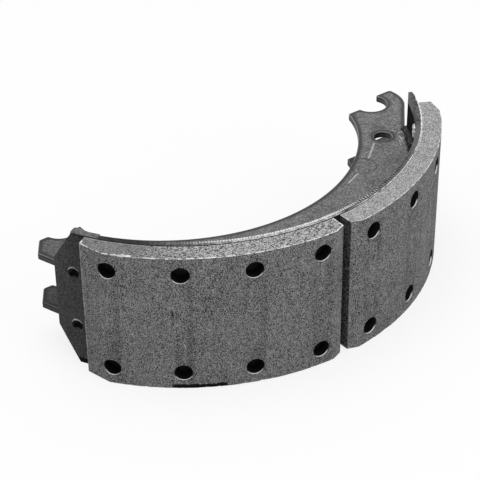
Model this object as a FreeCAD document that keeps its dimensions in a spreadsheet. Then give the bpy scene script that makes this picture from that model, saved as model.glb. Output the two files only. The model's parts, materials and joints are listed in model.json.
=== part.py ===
import FreeCAD, Part
import math
import os
import re
import Sketcher

# Brake shoe for a cam-operated drum brake, millimetres.
# Every body is drawn about the drum's axis (Z), with the shoe's middle on +X, the anchor end towards -Y and
# the cam end towards +Y. Each is then set so that the origin is the anchor seat's axis at mid-width.

SIZES = {
    # friction linings
    "lining_outer": 210.0,            # radius of the working face
    "lining_thickness": 16.4,
    "lining_width": 120.0,
    "block_arc": 57.8,                # degrees that one block covers
    "block_gap": 2.0,                 # degrees between the two blocks
    "anchor_bevel_depth": 7.2,        # bevel on the anchor block's far end
    "anchor_bevel_arc": 5.8,
    "cam_bevel_depth": 5.0,           # bevel on the cam block's far end
    "cam_bevel_arc": 4.3,
    "gap_bevel_depth": 3.8,           # bevel beside the gap
    "gap_bevel_arc": 2.5,
    # rim plate
    "table_thickness": 4.6,
    "table_proud": 0.7,               # the plate stands out beyond each side of the lining
    "anchor_rim_margin": 3.4,         # degrees of full width beyond the lining
    "anchor_taper_arc": 5.1,
    "anchor_tab_upper": 33.5,         # corners of the narrow end, from mid-width
    "anchor_tab_lower": 29.0,
    "cam_rim_margin": 5.8,
    "cam_end_bevel": 1.4,             # inner edge of the plate's cam end
    "cam_end_bevel_arc": 1.2,
    "rim_corner": 3.0,
    "crater_radius": 4.7,             # plug weld craters near the anchor end
    "crater_depth": 2.2,
    "crater_angle": 62.3,
    "crater_height": 24.4,
    # webs
    "web_thickness": 6.0,
    "web_spacing": 46.0,              # between the webs' middle planes
    "web_depth": 59.52,               # rim to throat in the middle
    "flank_depth": 42.92,             # rim to throat where the flank starts
    "flank_angle": 62.96,
    "web_edge_bevel": 0.6,
    # anchor seat
    "anchor_wall": 21.95,             # seat to the lug's outer edge
    "anchor_angle": 76.85,
    "anchor_bore": 13.45,
    "anchor_tip_wall": 0.75,
    "anchor_tip_set": 6.3,
    "anchor_tip_width": 12.22,
    "anchor_end_set": 3.3,
    "anchor_jaw_depth": 21.5,
    "anchor_slope": 34.5,
    "anchor_lip_round": 2.6,
    "lug_relief": 1.2,                # step in the lug's edge where the rim plate ends
    "lug_relief_arc": 0.8,
    # roller seat and hook
    "roller_inset": 12.5,             # seat axis from the rim's circle
    "roller_angle": 79.5,
    "roller_bore": 14.3,
    "jaw_set": 2.1,
    "jaw_depth": 27.2,
    "jaw_round": 2.2,
    "hook_wall": 15.7,
    "hook_set": 8.0,
    "hook_relief": 0.3,               # step in the hook's back where the rim plate ends
    "hook_relief_arc": 0.8,
    "hook_round": 2.6,
    "hook_inner_round": 1.5,
    # holes in the webs
    "spring_hole": 7.75,
    "spring_hole_inset": 22.8,        # hole's middle from the rim
    "spring_hole_angle": 60.5,
    "retainer_hole": 4.8,
    "retainer_hole_inset": 29.0,
    "retainer_hole_angle": 66.0,
    "coin_radius": 11.5,              # shallow pressed ring mark
    "coin_depth": 0.4,
    "coin_inset": 42.0,
    "coin_angle": 42.7,
    # rivets
    "rivet_columns": 4,
    "rivet_row_edge": 15.0,           # rivet row to the lining's edge
    "rivet_near_margin": 5.8,         # degrees from the gap end to the first column
    "rivet_far_margin": 6.6,          # degrees from the far end to the last column
    "rivet_shank": 4.0,
    "rivet_clearance": 0.2,
    "rivet_land": 5.4,                # lining left under the head
    "head_radius": 6.5,
    "head_thickness": 2.4,
    "head_edge": 0.6,
    "counterbore_clearance": 0.7,
    "roll_radius": 6.2,
    "tube_radius": 2.7,
    "tube_depth": 7.0,
    # weld beads
    "weld_leg": 4.0,
    "weld_crown": 5.2,
    "weld_arc": 9.0,
}


def polar(radius, angle):
    return f"({radius}) * cos({angle})", f"({radius}) * sin({angle})"


# places and radii that follow from the driving sizes
LINING_INNER = "(lining_outer - lining_thickness)"
RIM_INNER = f"({LINING_INNER} - table_thickness)"
BLOCK_NEAR = "(block_gap / 2)"
BLOCK_FAR = f"({BLOCK_NEAR} + block_arc)"
ANCHOR_SHOULDER = f"({BLOCK_FAR} + anchor_rim_margin)"
ANCHOR_END = f"({ANCHOR_SHOULDER} + anchor_taper_arc)"
CAM_END = f"({BLOCK_FAR} + cam_rim_margin)"
WEB_END = f"({CAM_END} - hook_relief_arc)"
LUG_START = f"({ANCHOR_END} - lug_relief_arc)"
LUG_RADIUS = f"({RIM_INNER} - lug_relief)"
ANCHOR_RADIUS = f"({LUG_RADIUS} - anchor_bore - anchor_wall)"
ANCHOR_SEAT = polar(ANCHOR_RADIUS, "-anchor_angle")
ROLLER_RADIUS = f"({RIM_INNER} - roller_inset)"
TABLE_SIDE = "(lining_width / 2 + table_proud)"
FIRST_COLUMN = f"({BLOCK_NEAR} + rivet_near_margin)"
COLUMN_SPAN = "(block_arc - rivet_near_margin - rivet_far_margin)"
RIVET_ROW = "(lining_width / 2 - rivet_row_edge)"
HEAD_SEAT = f"({LINING_INNER} + rivet_land)"
SHANK_HOLE = "(rivet_shank + rivet_clearance)"
COUNTERBORE = "(head_radius + counterbore_clearance)"
ROLL_SEAT = f"sqrt({RIM_INNER}^2 - roll_radius^2)"
THROAT_MIDDLE = (f"{RIM_INNER} - web_depth", "0")
FLANK_START = polar(f"{RIM_INNER} - flank_depth", "flank_angle")

doc = FreeCAD.newDocument("brake_shoe")
sheet = doc.addObject("Spreadsheet::Sheet", "sizes")
for row, (alias, number) in enumerate(SIZES.items(), start=1):
    sheet.set(f"A{row}", alias)
    sheet.set(f"B{row}", str(number))
    sheet.setAlias(f"B{row}", alias)
doc.recompute()


def formula(text):
    """Point every size named in the text at its cell of the sheet."""
    return re.sub(r"[a-z_]+", lambda word: "sizes." + word[0] if word[0] in SIZES else word[0], text)


def value(text):
    return float(sheet.evalExpression(formula(text)))


def point(place):
    return FreeCAD.Vector(value(place[0]), value(place[1]), 0)


# document helpers

def new_body(name, turn="0", lift="0"):
    """Start a body whose own origin is the drum's axis, turned about it and lifted along it."""
    body = doc.addObject("PartDesign::Body", name)
    body.Label = name
    body.Placement = FreeCAD.Placement(FreeCAD.Vector(), FreeCAD.Rotation(FreeCAD.Vector(0, 0, 1), 1))
    body.setExpression("Placement.Base.x", formula(f"-({ANCHOR_SEAT[0]})"))
    body.setExpression("Placement.Base.y", formula(f"-({ANCHOR_SEAT[1]})"))
    body.setExpression("Placement.Base.z", formula(lift))
    body.setExpression("Placement.Rotation.Angle", formula(turn))
    return body


def origin_item(body, role):
    return next(item for item in body.Origin.OriginFeatures if item.Role == role)


def new_sketch(body, name, plane):
    sketch = body.newObject("Sketcher::SketchObject", name)
    sketch.AttachmentSupport = (origin_item(body, plane), [""])
    sketch.MapMode = "FlatFace"
    return sketch


def radial_sketch(body, name, angle, reach="0"):
    """A sketch that faces outward at an angle: its x runs round the shoe and its y along the width."""
    sketch = new_sketch(body, name, "YZ_Plane")
    turned = FreeCAD.Rotation(FreeCAD.Vector(0, 1, 0), 1)
    sketch.AttachmentOffset = FreeCAD.Placement(FreeCAD.Vector(), turned)
    sketch.setExpression("AttachmentOffset.Base.x", formula(f"({reach}) * sin({angle})"))
    sketch.setExpression("AttachmentOffset.Base.z", formula(f"({reach}) * cos({angle})"))
    sketch.setExpression("AttachmentOffset.Rotation.Angle", formula(angle))
    return sketch


def drive(sketch, kind, *references, by):
    """Add one dimension to a sketch and bind it to the sheet."""
    number = value(by)
    if kind == "Angle":
        number = math.radians(number)
    index = sketch.addConstraint(Sketcher.Constraint(kind, *references, number))
    sketch.renameConstraint(index, f"size{index}")
    sketch.setExpression(f"Constraints.size{index}", formula(by))


def pin(sketch, geometry, position, place):
    drive(sketch, "DistanceX", geometry, position, by=place[0])
    drive(sketch, "DistanceY", geometry, position, by=place[1])


def arc_through(start, end, radius):
    """Counter-clockwise arc from start to end; a negative radius gives the clockwise one."""
    chord = end - start
    rise = math.sqrt(max(radius * radius - chord.Length ** 2 / 4, 0))
    across = FreeCAD.Vector(-chord.y, chord.x, 0).normalize()
    centre = start + chord / 2 + across * math.copysign(rise, radius)
    circle = Part.Circle(centre, FreeCAD.Vector(0, 0, 1), abs(radius))
    first, last = (start, end) if radius > 0 else (end, start)
    turns = [math.atan2((p - centre).y, (p - centre).x) for p in (first, last)]
    if turns[1] < turns[0]:
        turns[1] += 2 * math.pi
    return Part.ArcOfCircle(circle, *turns)


def outline(sketch, corners):
    """Closed outline. Each corner is (place, radius); a radius bends the side that leaves it."""
    count = len(corners)
    ends = []
    for index, (place, radius) in enumerate(corners):
        start, end = point(place), point(corners[(index + 1) % count][0])
        if radius is None:
            side = sketch.addGeometry(Part.LineSegment(start, end))
            ends.append((side, 1, 2))
        else:
            side = sketch.addGeometry(arc_through(start, end, value(radius)))
            ends.append((side, 1, 2) if value(radius) > 0 else (side, 2, 1))
    for index, (side, first, last) in enumerate(ends):
        following = ends[(index + 1) % count]
        sketch.addConstraint(Sketcher.Constraint("Coincident", side, last, following[0], following[1]))
    for (side, first, last), (place, radius) in zip(ends, corners):
        pin(sketch, side, first, place)
        if radius is not None:
            drive(sketch, "Radius", side, by=f"abs({radius})")


def circles(sketch, places, radius):
    for place in places:
        circle = Part.Circle(point(place), FreeCAD.Vector(0, 0, 1), value(radius))
        geometry = sketch.addGeometry(circle)
        pin(sketch, geometry, 3, place)
        drive(sketch, "Radius", geometry, by=radius)


def pad(body, name, sketch, thickness):
    feature = body.newObject("PartDesign::Pad", name)
    feature.Profile = sketch
    feature.SideType = "Symmetric"
    feature.setExpression("Length", formula(thickness))
    doc.recompute()
    return feature


def cut_through(body, name, sketch):
    """Cut both ways from a sketch that stands in the middle of the material or on the drum's axis."""
    feature = body.newObject("PartDesign::Pocket", name)
    feature.Profile = sketch
    feature.Type = "ThroughAll"
    feature.SideType = "Symmetric"
    return check_cut(body, feature)


def check_cut(body, feature):
    """A cut has to take material away."""
    doc.recompute()
    if feature.Shape.Volume >= feature.BaseFeature.Shape.Volume:
        raise RuntimeError(f"{body.Name}: {feature.Name} cuts nothing")
    return feature


def repeat_columns(body, name, features, reverse=False):
    """Copy the first column of holes to the other columns of its block."""
    pattern = body.newObject("PartDesign::PolarPattern", name)
    pattern.Originals = features
    pattern.Axis = (origin_item(body, "Z_Axis"), [""])
    pattern.Reversed = reverse
    pattern.setExpression("Angle", formula(COLUMN_SPAN))
    pattern.setExpression("Occurrences", formula("rivet_columns"))
    body.Tip = pattern
    return check_cut(body, pattern)


def upright_edges(feature, places):
    """Names of the straight edges along Z that stand nearest to the given places."""
    names = []
    for place in places:
        best = None
        for number, edge in enumerate(feature.Shape.Edges, start=1):
            ends = [vertex.Point for vertex in edge.Vertexes]
            if len(ends) == 2 and math.hypot(ends[0].x - ends[1].x, ends[0].y - ends[1].y) < 1e-4:
                away = math.hypot(ends[0].x - place.x, ends[0].y - place.y)
                if best is None or away < best[0]:
                    best = (away, f"Edge{number}")
        names.append(best[1])
    return names


def level_edges(feature, middle):
    """Names of the two straight edges, at the upper and lower face, whose middle stands over a place."""
    names = []
    for number, edge in enumerate(feature.Shape.Edges, start=1):
        ends = [vertex.Point for vertex in edge.Vertexes]
        away = (ends[0] + ends[-1]) / 2 - middle
        if math.hypot(away.x, away.y) < 1e-3 and abs(ends[0].z - ends[-1].z) < 1e-6:
            names.append(f"Edge{number}")
    return names


def face_edges(feature, height):
    """Names of the edges that lie in the plate's upper or lower face."""
    names = []
    for number, edge in enumerate(feature.Shape.Edges, start=1):
        box = edge.BoundBox
        if abs(abs(box.ZMin) - height) < 1e-4 and box.ZLength < 1e-4:
            names.append(f"Edge{number}")
    return names


def bevel_edges(body, name, feature, edges, width):
    chamfer = body.newObject("PartDesign::Chamfer", name)
    chamfer.Base = (feature, edges)
    chamfer.setExpression("Size", formula(width))
    doc.recompute()
    return chamfer


def round_edges(body, name, feature, edges, radius):
    fillet = body.newObject("PartDesign::Fillet", name)
    fillet.Base = (feature, edges)
    fillet.setExpression("Radius", formula(radius))
    doc.recompute()
    return fillet


# friction blocks

def make_lining(end, side):
    """One block: an arc with bevelled ends and two rows of counterbored holes. side is 1 or -1."""
    name = end + "_lining"
    body = new_body(name)

    def at(radius, angle):
        return polar(radius, f"{side} * {angle}")

    section = new_sketch(body, name + "_section", "XY_Plane")
    outline(section, [
        (at(LINING_INNER, BLOCK_FAR), f"{-side} * {LINING_INNER}"),
        (at(LINING_INNER, BLOCK_NEAR), None),
        (at("lining_outer - gap_bevel_depth", BLOCK_NEAR), None),
        (at("lining_outer", f"({BLOCK_NEAR} + gap_bevel_arc)"), f"{side} * lining_outer"),
        (at("lining_outer", f"({BLOCK_FAR} - {end}_bevel_arc)"), None),
        (at(f"lining_outer - {end}_bevel_depth", BLOCK_FAR), None),
    ])
    pad(body, name + "_block", section, "lining_width")

    column = f"{side} * {FIRST_COLUMN}"
    rows = [("0", RIVET_ROW), ("0", f"-{RIVET_ROW}")]
    holes = radial_sketch(body, name + "_hole_sketch", column)
    circles(holes, rows, SHANK_HOLE)
    through = cut_through(body, name + "_holes", holes)
    wells = radial_sketch(body, name + "_well_sketch", column, HEAD_SEAT)
    circles(wells, rows, COUNTERBORE)
    sunk = body.newObject("PartDesign::Pocket", name + "_counterbores")
    sunk.Profile = wells
    sunk.Type = "ThroughAll"
    sunk.Reversed = True
    check_cut(body, sunk)
    repeat_columns(body, name + "_columns", [through, sunk], reverse=side < 0)
    return body


# rim plate

def make_table():
    """Rolled plate under both blocks, tapered at the anchor end and square at the cam end."""
    body = new_body("shoe_table")
    section = new_sketch(body, "table_section", "XY_Plane")
    outline(section, [
        (polar(LINING_INNER, f"-{ANCHOR_END}"), LINING_INNER),
        (polar(LINING_INNER, CAM_END), None),
        (polar(f"{RIM_INNER} + cam_end_bevel", CAM_END), None),
        (polar(RIM_INNER, f"({CAM_END} - cam_end_bevel_arc)"), f"-{RIM_INNER}"),
        (polar(RIM_INNER, f"-{ANCHOR_END}"), None),
    ])
    plate = pad(body, "table_plate", section, f"2 * {TABLE_SIDE}")

    middle = point(polar(f"{RIM_INNER} + (table_thickness + cam_end_bevel) / 2", CAM_END))
    round_edges(body, "table_corners", plate, level_edges(plate, middle), "rim_corner")

    taper = radial_sketch(body, "table_taper_sketch", f"-{ANCHOR_SHOULDER}")
    run = f"({LINING_INNER} * sin(anchor_taper_arc))"
    for tab, up in (("anchor_tab_upper", 1), ("anchor_tab_lower", -1)):
        outline(taper, [
            (("0", f"{up} * {TABLE_SIDE}"), None),
            ((f"-1.5 * {run}", f"{up} * {TABLE_SIDE}"), None),
            ((f"-1.5 * {run}", f"{up} * (1.5 * {tab} - 0.5 * {TABLE_SIDE})"), None),
        ])
    cut_through(body, "table_taper", taper)

    for name, side in (("cam", 1), ("anchor", -1)):
        holes = radial_sketch(body, f"table_{name}_hole_sketch", f"{side} * {FIRST_COLUMN}")
        circles(holes, [("0", RIVET_ROW), ("0", f"-{RIVET_ROW}")], SHANK_HOLE)
        through = cut_through(body, f"table_{name}_holes", holes)
        repeat_columns(body, f"table_{name}_columns", [through], reverse=side < 0)

    bowl = "(crater_radius^2 + crater_depth^2) / (2 * crater_depth)"
    turned = FreeCAD.Rotation(FreeCAD.Vector(0, 0, 1), 1)
    for name, side in (("upper", 1), ("lower", -1)):
        crater = new_sketch(body, f"{name}_crater_sketch", "XY_Plane")
        crater.AttachmentOffset = FreeCAD.Placement(FreeCAD.Vector(), turned)
        crater.setExpression("AttachmentOffset.Base.z", formula(f"{side} * crater_height"))
        crater.setExpression("AttachmentOffset.Rotation.Angle", formula("-crater_angle"))
        outline(crater, [
            ((f"{LINING_INNER} - crater_depth", "0"), f"-{bowl}"),
            ((LINING_INNER, "crater_radius"), None),
            ((f"{LINING_INNER} + crater_depth", "crater_radius"), None),
            ((f"{LINING_INNER} + crater_depth", "0"), None),
        ])
        groove = body.newObject("PartDesign::Groove", f"{name}_crater")
        groove.Profile = crater
        groove.ReferenceAxis = (crater, ["H_Axis"])
        groove.Angle = 360
        check_cut(body, groove)
    return body


# webs

def draw_web(sketch):
    """The stamped profile: rim arc, hook, roller seat, jaw, throat, anchor seat and lug."""
    drum = FreeCAD.Vector()
    up = FreeCAD.Vector(0, 0, 1)
    rim = value(RIM_INNER)
    roller = point(polar(ROLLER_RADIUS, "roller_angle"))
    anchor = point(ANCHOR_SEAT)
    hook = value("roller_bore + hook_wall")
    seat, bore = value("roller_bore"), value("anchor_bore")

    def arc(centre, radius, start, end):
        first = math.atan2(start.y - centre.y, start.x - centre.x)
        last = math.atan2(end.y - centre.y, end.x - centre.x)
        if last < first:
            last += 2 * math.pi
        return sketch.addGeometry(Part.ArcOfCircle(Part.Circle(centre, up, radius), first, last))

    def line(start, end):
        return sketch.addGeometry(Part.LineSegment(start, end))

    # hook, whose back leaves a small step at the end of the rim plate and runs on to touch the hook's arc
    rim_end = point(polar(RIM_INNER, WEB_END))
    back_foot = point(polar(f"{RIM_INNER} - hook_relief", CAM_END))
    lead = back_foot - roller
    touch = math.atan2(lead.y, lead.x) + math.acos(hook / lead.Length)
    back_top = roller + FreeCAD.Vector(math.cos(touch), math.sin(touch), 0) * hook
    hook_x = value("hook_set")
    hook_out = roller + FreeCAD.Vector(-hook_x, math.sqrt(hook ** 2 - hook_x ** 2), 0)
    hook_in = roller + FreeCAD.Vector(-hook_x, math.sqrt(seat ** 2 - hook_x ** 2), 0)
    # jaw
    jaw_x = value("jaw_set")
    jaw_top = roller + FreeCAD.Vector(jaw_x, -math.sqrt(seat ** 2 - jaw_x ** 2), 0)
    jaw_foot = roller + FreeCAD.Vector(jaw_x, -value("jaw_depth"), 0)
    # anchor end
    tip_y = bore + value("anchor_tip_wall")
    tip_x = value("anchor_tip_set")
    tip_low = anchor + FreeCAD.Vector(tip_x, math.sqrt(bore ** 2 - tip_x ** 2), 0)
    tip_top = anchor + FreeCAD.Vector(tip_x, tip_y, 0)
    tip_back = tip_top + FreeCAD.Vector(value("anchor_tip_width"), 0, 0)
    end_x = value("anchor_end_set")
    end_top = anchor + FreeCAD.Vector(end_x, -math.sqrt(bore ** 2 - end_x ** 2), 0)
    end_low = anchor + FreeCAD.Vector(end_x, -value("anchor_jaw_depth"), 0)
    lean = math.radians(value("anchor_slope"))
    way = FreeCAD.Vector(math.cos(lean), -math.sin(lean), 0)
    half = way.dot(end_low)
    lug = rim - value("lug_relief")
    heel = end_low + way * (-half + math.sqrt(half ** 2 - end_low.dot(end_low) + lug ** 2))
    lug_end = point(polar(LUG_RADIUS, f"-{ANCHOR_END}"))
    rim_start = point(polar(RIM_INNER, f"-{LUG_START}"))

    # the throat passes through the tip, the middle and the flank's start, and the flank leaves it smoothly
    middle = point(THROAT_MIDDLE)
    flank_end = point(FLANK_START)
    throat = Part.Circle(tip_back, middle, flank_end).Center
    inward = (throat - flank_end).normalize()
    gap = jaw_foot - flank_end
    flank_radius = gap.Length ** 2 / (2 * inward.dot(gap))
    flank = flank_end + inward * flank_radius

    lug_arc = arc(drum, lug, heel, lug_end)
    lug_step = line(lug_end, rim_start)
    rim_arc = arc(drum, rim, rim_start, rim_end)
    step = line(rim_end, back_foot)
    back = line(back_foot, back_top)
    hook_arc = arc(roller, hook, back_top, hook_out)
    hook_face = line(hook_out, hook_in)
    seat_arc = arc(roller, seat, jaw_top, hook_in)
    jaw_face = line(jaw_top, jaw_foot)
    flank_arc = arc(flank, flank_radius, flank_end, jaw_foot)
    throat_arc = arc(throat, (flank_end - throat).Length, tip_back, flank_end)
    middle_mark = sketch.addGeometry(Part.Point(middle), True)
    tip_flat = line(tip_back, tip_top)
    tip_face = line(tip_top, tip_low)
    bore_arc = arc(anchor, bore, end_top, tip_low)
    end_face = line(end_top, end_low)
    heel_line = line(end_low, heel)

    def join(*ends):
        sketch.addConstraint(Sketcher.Constraint("Coincident", *ends))

    join(rim_arc, 3, -1, 1)
    join(lug_arc, 3, -1, 1)
    join(hook_arc, 3, seat_arc, 3)
    sketch.addConstraint(Sketcher.Constraint("Tangent", back, 2, hook_arc, 1))
    sketch.addConstraint(Sketcher.Constraint("Tangent", flank_arc, 1, throat_arc, 2))
    sketch.addConstraint(Sketcher.Constraint("PointOnObject", middle_mark, 1, throat_arc))
    join(rim_arc, 2, step, 1)
    join(step, 2, back, 1)
    join(hook_arc, 2, hook_face, 1)
    join(hook_face, 2, seat_arc, 2)
    join(seat_arc, 1, jaw_face, 1)
    join(jaw_face, 2, flank_arc, 2)
    join(throat_arc, 1, tip_flat, 1)
    join(tip_flat, 2, tip_face, 1)
    join(tip_face, 2, bore_arc, 2)
    join(bore_arc, 1, end_face, 1)
    join(end_face, 2, heel_line, 1)
    join(heel_line, 2, lug_arc, 1)
    join(lug_arc, 2, lug_step, 1)
    join(lug_step, 2, rim_arc, 1)
    for upright in (hook_face, jaw_face, tip_face, end_face):
        sketch.addConstraint(Sketcher.Constraint("Vertical", upright))
    sketch.addConstraint(Sketcher.Constraint("Horizontal", tip_flat))

    drive(sketch, "Radius", rim_arc, by=RIM_INNER)
    drive(sketch, "Radius", lug_arc, by=LUG_RADIUS)
    drive(sketch, "DistanceX", lug_step, 1, by=polar(LUG_RADIUS, f"-{ANCHOR_END}")[0])
    drive(sketch, "DistanceX", lug_step, 2, by=polar(RIM_INNER, f"-{LUG_START}")[0])
    drive(sketch, "Radius", hook_arc, by="roller_bore + hook_wall")
    drive(sketch, "Radius", seat_arc, by="roller_bore")
    drive(sketch, "Radius", bore_arc, by="anchor_bore")
    pin(sketch, seat_arc, 3, polar(ROLLER_RADIUS, "roller_angle"))
    pin(sketch, middle_mark, 1, THROAT_MIDDLE)
    pin(sketch, throat_arc, 2, FLANK_START)
    pin(sketch, bore_arc, 3, ANCHOR_SEAT)
    drive(sketch, "DistanceX", step, 1, by=polar(RIM_INNER, WEB_END)[0])
    pin(sketch, back, 1, polar(f"{RIM_INNER} - hook_relief", CAM_END))
    drive(sketch, "Angle", heel_line, by="-anchor_slope")
    drive(sketch, "DistanceX", seat_arc, 3, hook_face, 1, by="-hook_set")
    drive(sketch, "DistanceX", seat_arc, 3, jaw_face, 1, by="jaw_set")
    drive(sketch, "DistanceY", seat_arc, 3, jaw_face, 2, by="-jaw_depth")
    drive(sketch, "DistanceX", bore_arc, 3, tip_face, 1, by="anchor_tip_set")
    drive(sketch, "DistanceY", bore_arc, 3, tip_face, 1, by="anchor_bore + anchor_tip_wall")
    drive(sketch, "DistanceX", tip_face, 1, tip_flat, 1, by="anchor_tip_width")
    drive(sketch, "DistanceX", bore_arc, 3, end_face, 1, by="anchor_end_set")
    drive(sketch, "DistanceY", bore_arc, 3, end_face, 2, by="-anchor_jaw_depth")
    return {
        "hook": [hook_out],
        "hook_inner": [hook_in],
        "jaw": [jaw_top, jaw_foot],
        "lug": [end_top, end_low],
    }


def make_web(name, side):
    """One stamped plate. Both are the same stamping, with its pressed marks on the outside."""
    body = new_body(name, lift=f"{side} * web_spacing / 2")
    profile = new_sketch(body, name + "_profile", "XY_Plane")
    corners = draw_web(profile)
    plate = pad(body, name + "_plate", profile, "web_thickness")
    rounds = {
        "hook": "hook_round",
        "hook_inner": "hook_inner_round",
        "jaw": "jaw_round",
        "lug": "anchor_lip_round",
    }
    for place, radius in rounds.items():
        edges = upright_edges(plate, corners[place])
        plate = round_edges(body, f"{name}_{place}_round", plate, edges, radius)

    spring = polar(f"{RIM_INNER} - spring_hole_inset", "spring_hole_angle")
    retainer = polar(f"{RIM_INNER} - retainer_hole_inset", "-retainer_hole_angle")
    holes = new_sketch(body, name + "_hole_sketch", "XY_Plane")
    circles(holes, [spring], "spring_hole")
    circles(holes, [retainer], "retainer_hole")
    pierced = cut_through(body, name + "_holes", holes)
    faces = face_edges(pierced, value("web_thickness / 2"))
    bevel_edges(body, name + "_edges", pierced, faces, "web_edge_bevel")

    coin = new_sketch(body, name + "_coin_sketch", "XY_Plane")
    coin.setExpression("AttachmentOffset.Base.z", formula(f"{side} * (web_thickness / 2 - coin_depth)"))
    circles(coin, [polar(f"{RIM_INNER} - coin_inset", "coin_angle")], "coin_radius")
    mark = body.newObject("PartDesign::Pocket", name + "_coin")
    mark.Profile = coin
    mark.Type = "ThroughAll"
    mark.Reversed = side > 0
    check_cut(body, mark)
    return body


# rivets

def make_rivet(name, side, row, column):
    """Tubular rivet: flat head in the counterbore, shank through block and plate, end rolled over."""
    spread = f"{column} * {COLUMN_SPAN} / (rivet_columns - 1)"
    turn = f"{side} * ({FIRST_COLUMN} + {spread})"
    body = new_body(name, turn=turn, lift=f"{row} * {RIVET_ROW}")
    section = new_sketch(body, name + "_section", "XZ_Plane")
    top = f"({HEAD_SEAT} + head_thickness)"
    roll = "(roll_radius - tube_radius) / 2"
    outline(section, [
        ((f"{ROLL_SEAT} + tube_depth", "0"), None),
        ((top, "0"), None),
        ((top, "head_radius - head_edge"), None),
        ((f"{top} - head_edge", "head_radius"), None),
        ((HEAD_SEAT, "head_radius"), None),
        ((HEAD_SEAT, "rivet_shank"), None),
        ((ROLL_SEAT, "rivet_shank"), None),
        ((ROLL_SEAT, "roll_radius"), roll),
        ((f"{ROLL_SEAT} - {roll}", "(roll_radius + tube_radius) / 2"), roll),
        ((ROLL_SEAT, "tube_radius"), None),
        ((f"{ROLL_SEAT} + tube_depth", "tube_radius"), None),
    ])
    turned = body.newObject("PartDesign::Revolution", name + "_turned")
    turned.Profile = section
    turned.ReferenceAxis = (section, ["H_Axis"])
    turned.Angle = 360
    return body


# weld beads

def make_weld(name, side, angle):
    """A convex bead in the corner between a web's outer face and the plate's inner face."""
    body = new_body(name, turn=angle)
    section = new_sketch(body, name + "_section", "XZ_Plane")
    face = "(web_spacing + web_thickness) / 2"
    outline(section, [
        ((RIM_INNER, f"{side} * ({face})"), None),
        ((RIM_INNER, f"{side} * ({face} + weld_leg)"), "weld_crown" if side > 0 else "-weld_crown"),
        ((f"{RIM_INNER} - weld_leg", f"{side} * ({face})"), None),
    ])
    bead = body.newObject("PartDesign::Revolution", name + "_bead")
    bead.Profile = section
    bead.ReferenceAxis = (origin_item(body, "Z_Axis"), [""])
    bead.Midplane = True
    bead.setExpression("Angle", formula("weld_arc"))
    return body


def make_all():
    welds = {
        "cam": f"{WEB_END} - weld_arc / 2",
        "middle": "0",
        "anchor": f"weld_arc / 2 - {ANCHOR_SHOULDER}",
    }
    bodies = [make_table()]
    for name, side in (("upper", 1), ("lower", -1)):
        bodies.append(make_web(f"{name}_web", side))
        for place, angle in welds.items():
            bodies.append(make_weld(f"{name}_web_weld_{place}", side, angle))
    for end, side in (("anchor", -1), ("cam", 1)):
        bodies.append(make_lining(end, side))
        for level, row in (("upper", 1), ("lower", -1)):
            for column in range(int(SIZES["rivet_columns"])):
                bodies.append(make_rivet(f"{end}_rivet_{level}_{column + 1}", side, row, column))
    return bodies


def check(bodies):
    """Stop before anything is written if a feature failed or a shape isn't one sound solid."""
    doc.recompute()
    for item in doc.Objects:
        if "Invalid" in item.State or "Error" in item.State:
            raise RuntimeError(f"{item.Name} failed: {item.State}")
    for body in bodies:
        if body.Shape.isNull() or not body.Shape.isValid() or len(body.Shape.Solids) != 1:
            raise RuntimeError(f"{body.Label} isn't one valid solid")


parts = make_all()
check(parts)
os.makedirs("parts", exist_ok=True)
for part in parts:
    part.Shape.exportStep(f"parts/{part.Label}.step")
    print(f"{part.Label}: {part.Shape.Volume / 1000:.2f} cm3")
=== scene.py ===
import bpy, bmesh
import json, math
from mathutils import Matrix, Vector, noise

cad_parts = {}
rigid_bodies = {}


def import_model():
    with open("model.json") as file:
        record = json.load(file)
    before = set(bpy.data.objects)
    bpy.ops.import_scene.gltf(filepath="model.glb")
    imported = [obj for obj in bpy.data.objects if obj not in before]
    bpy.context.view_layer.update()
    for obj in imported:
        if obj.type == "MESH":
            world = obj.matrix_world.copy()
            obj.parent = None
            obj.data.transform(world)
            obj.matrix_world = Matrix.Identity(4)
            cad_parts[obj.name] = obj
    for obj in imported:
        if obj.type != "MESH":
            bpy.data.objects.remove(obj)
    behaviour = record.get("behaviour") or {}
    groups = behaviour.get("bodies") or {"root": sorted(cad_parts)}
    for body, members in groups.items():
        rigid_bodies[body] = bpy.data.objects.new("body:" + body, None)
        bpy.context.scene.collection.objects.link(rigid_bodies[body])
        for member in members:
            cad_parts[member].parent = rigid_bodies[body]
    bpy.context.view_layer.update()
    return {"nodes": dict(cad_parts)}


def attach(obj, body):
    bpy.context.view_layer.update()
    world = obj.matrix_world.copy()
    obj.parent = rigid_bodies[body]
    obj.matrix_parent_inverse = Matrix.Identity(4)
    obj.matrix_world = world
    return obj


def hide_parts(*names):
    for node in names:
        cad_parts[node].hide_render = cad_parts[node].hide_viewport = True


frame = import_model()
cadNodes = frame["nodes"]
noise.seed_set(5)      # the same ripples on every run

# main places of the shoe, in metres and degrees, as in the CAD
shoe = {
    "axisX": -0.034671, "axisY": 0.148404,      # drum's axis
    "face": 0.210, "back": 0.1936, "rim": 0.189,
    "liningHalf": 0.060, "plateHalf": 0.0607,
    "webFace": 0.026, "webMiddle": 0.023, "weldAngle": 57.8,
    "blockNear": 1.0, "blockFar": 58.8, "anchorBevel": 5.8, "camBevel": 4.3,
    "firstColumn": 6.8, "columnPitch": 45.4 / 3, "columns": 4, "row": 0.045, "well": 0.0072, "headSeat": 0.199,
    "craterAngle": -62.3, "craterHeight": 0.0244, "craterRadius": 0.0047,
}
lengths = ("face", "back", "rim", "liningHalf", "webMiddle", "row", "well", "craterHeight")
mm = {name: shoe[name] * 1000 for name in lengths}      # in millimetres, as the materials use them
perDegree = 3.5      # millimetres of arc in a degree


def place(radius, angle, height):
    turn = math.radians(angle)
    return Vector((shoe["axisX"] + radius * math.cos(turn), shoe["axisY"] + radius * math.sin(turn), height))


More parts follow.
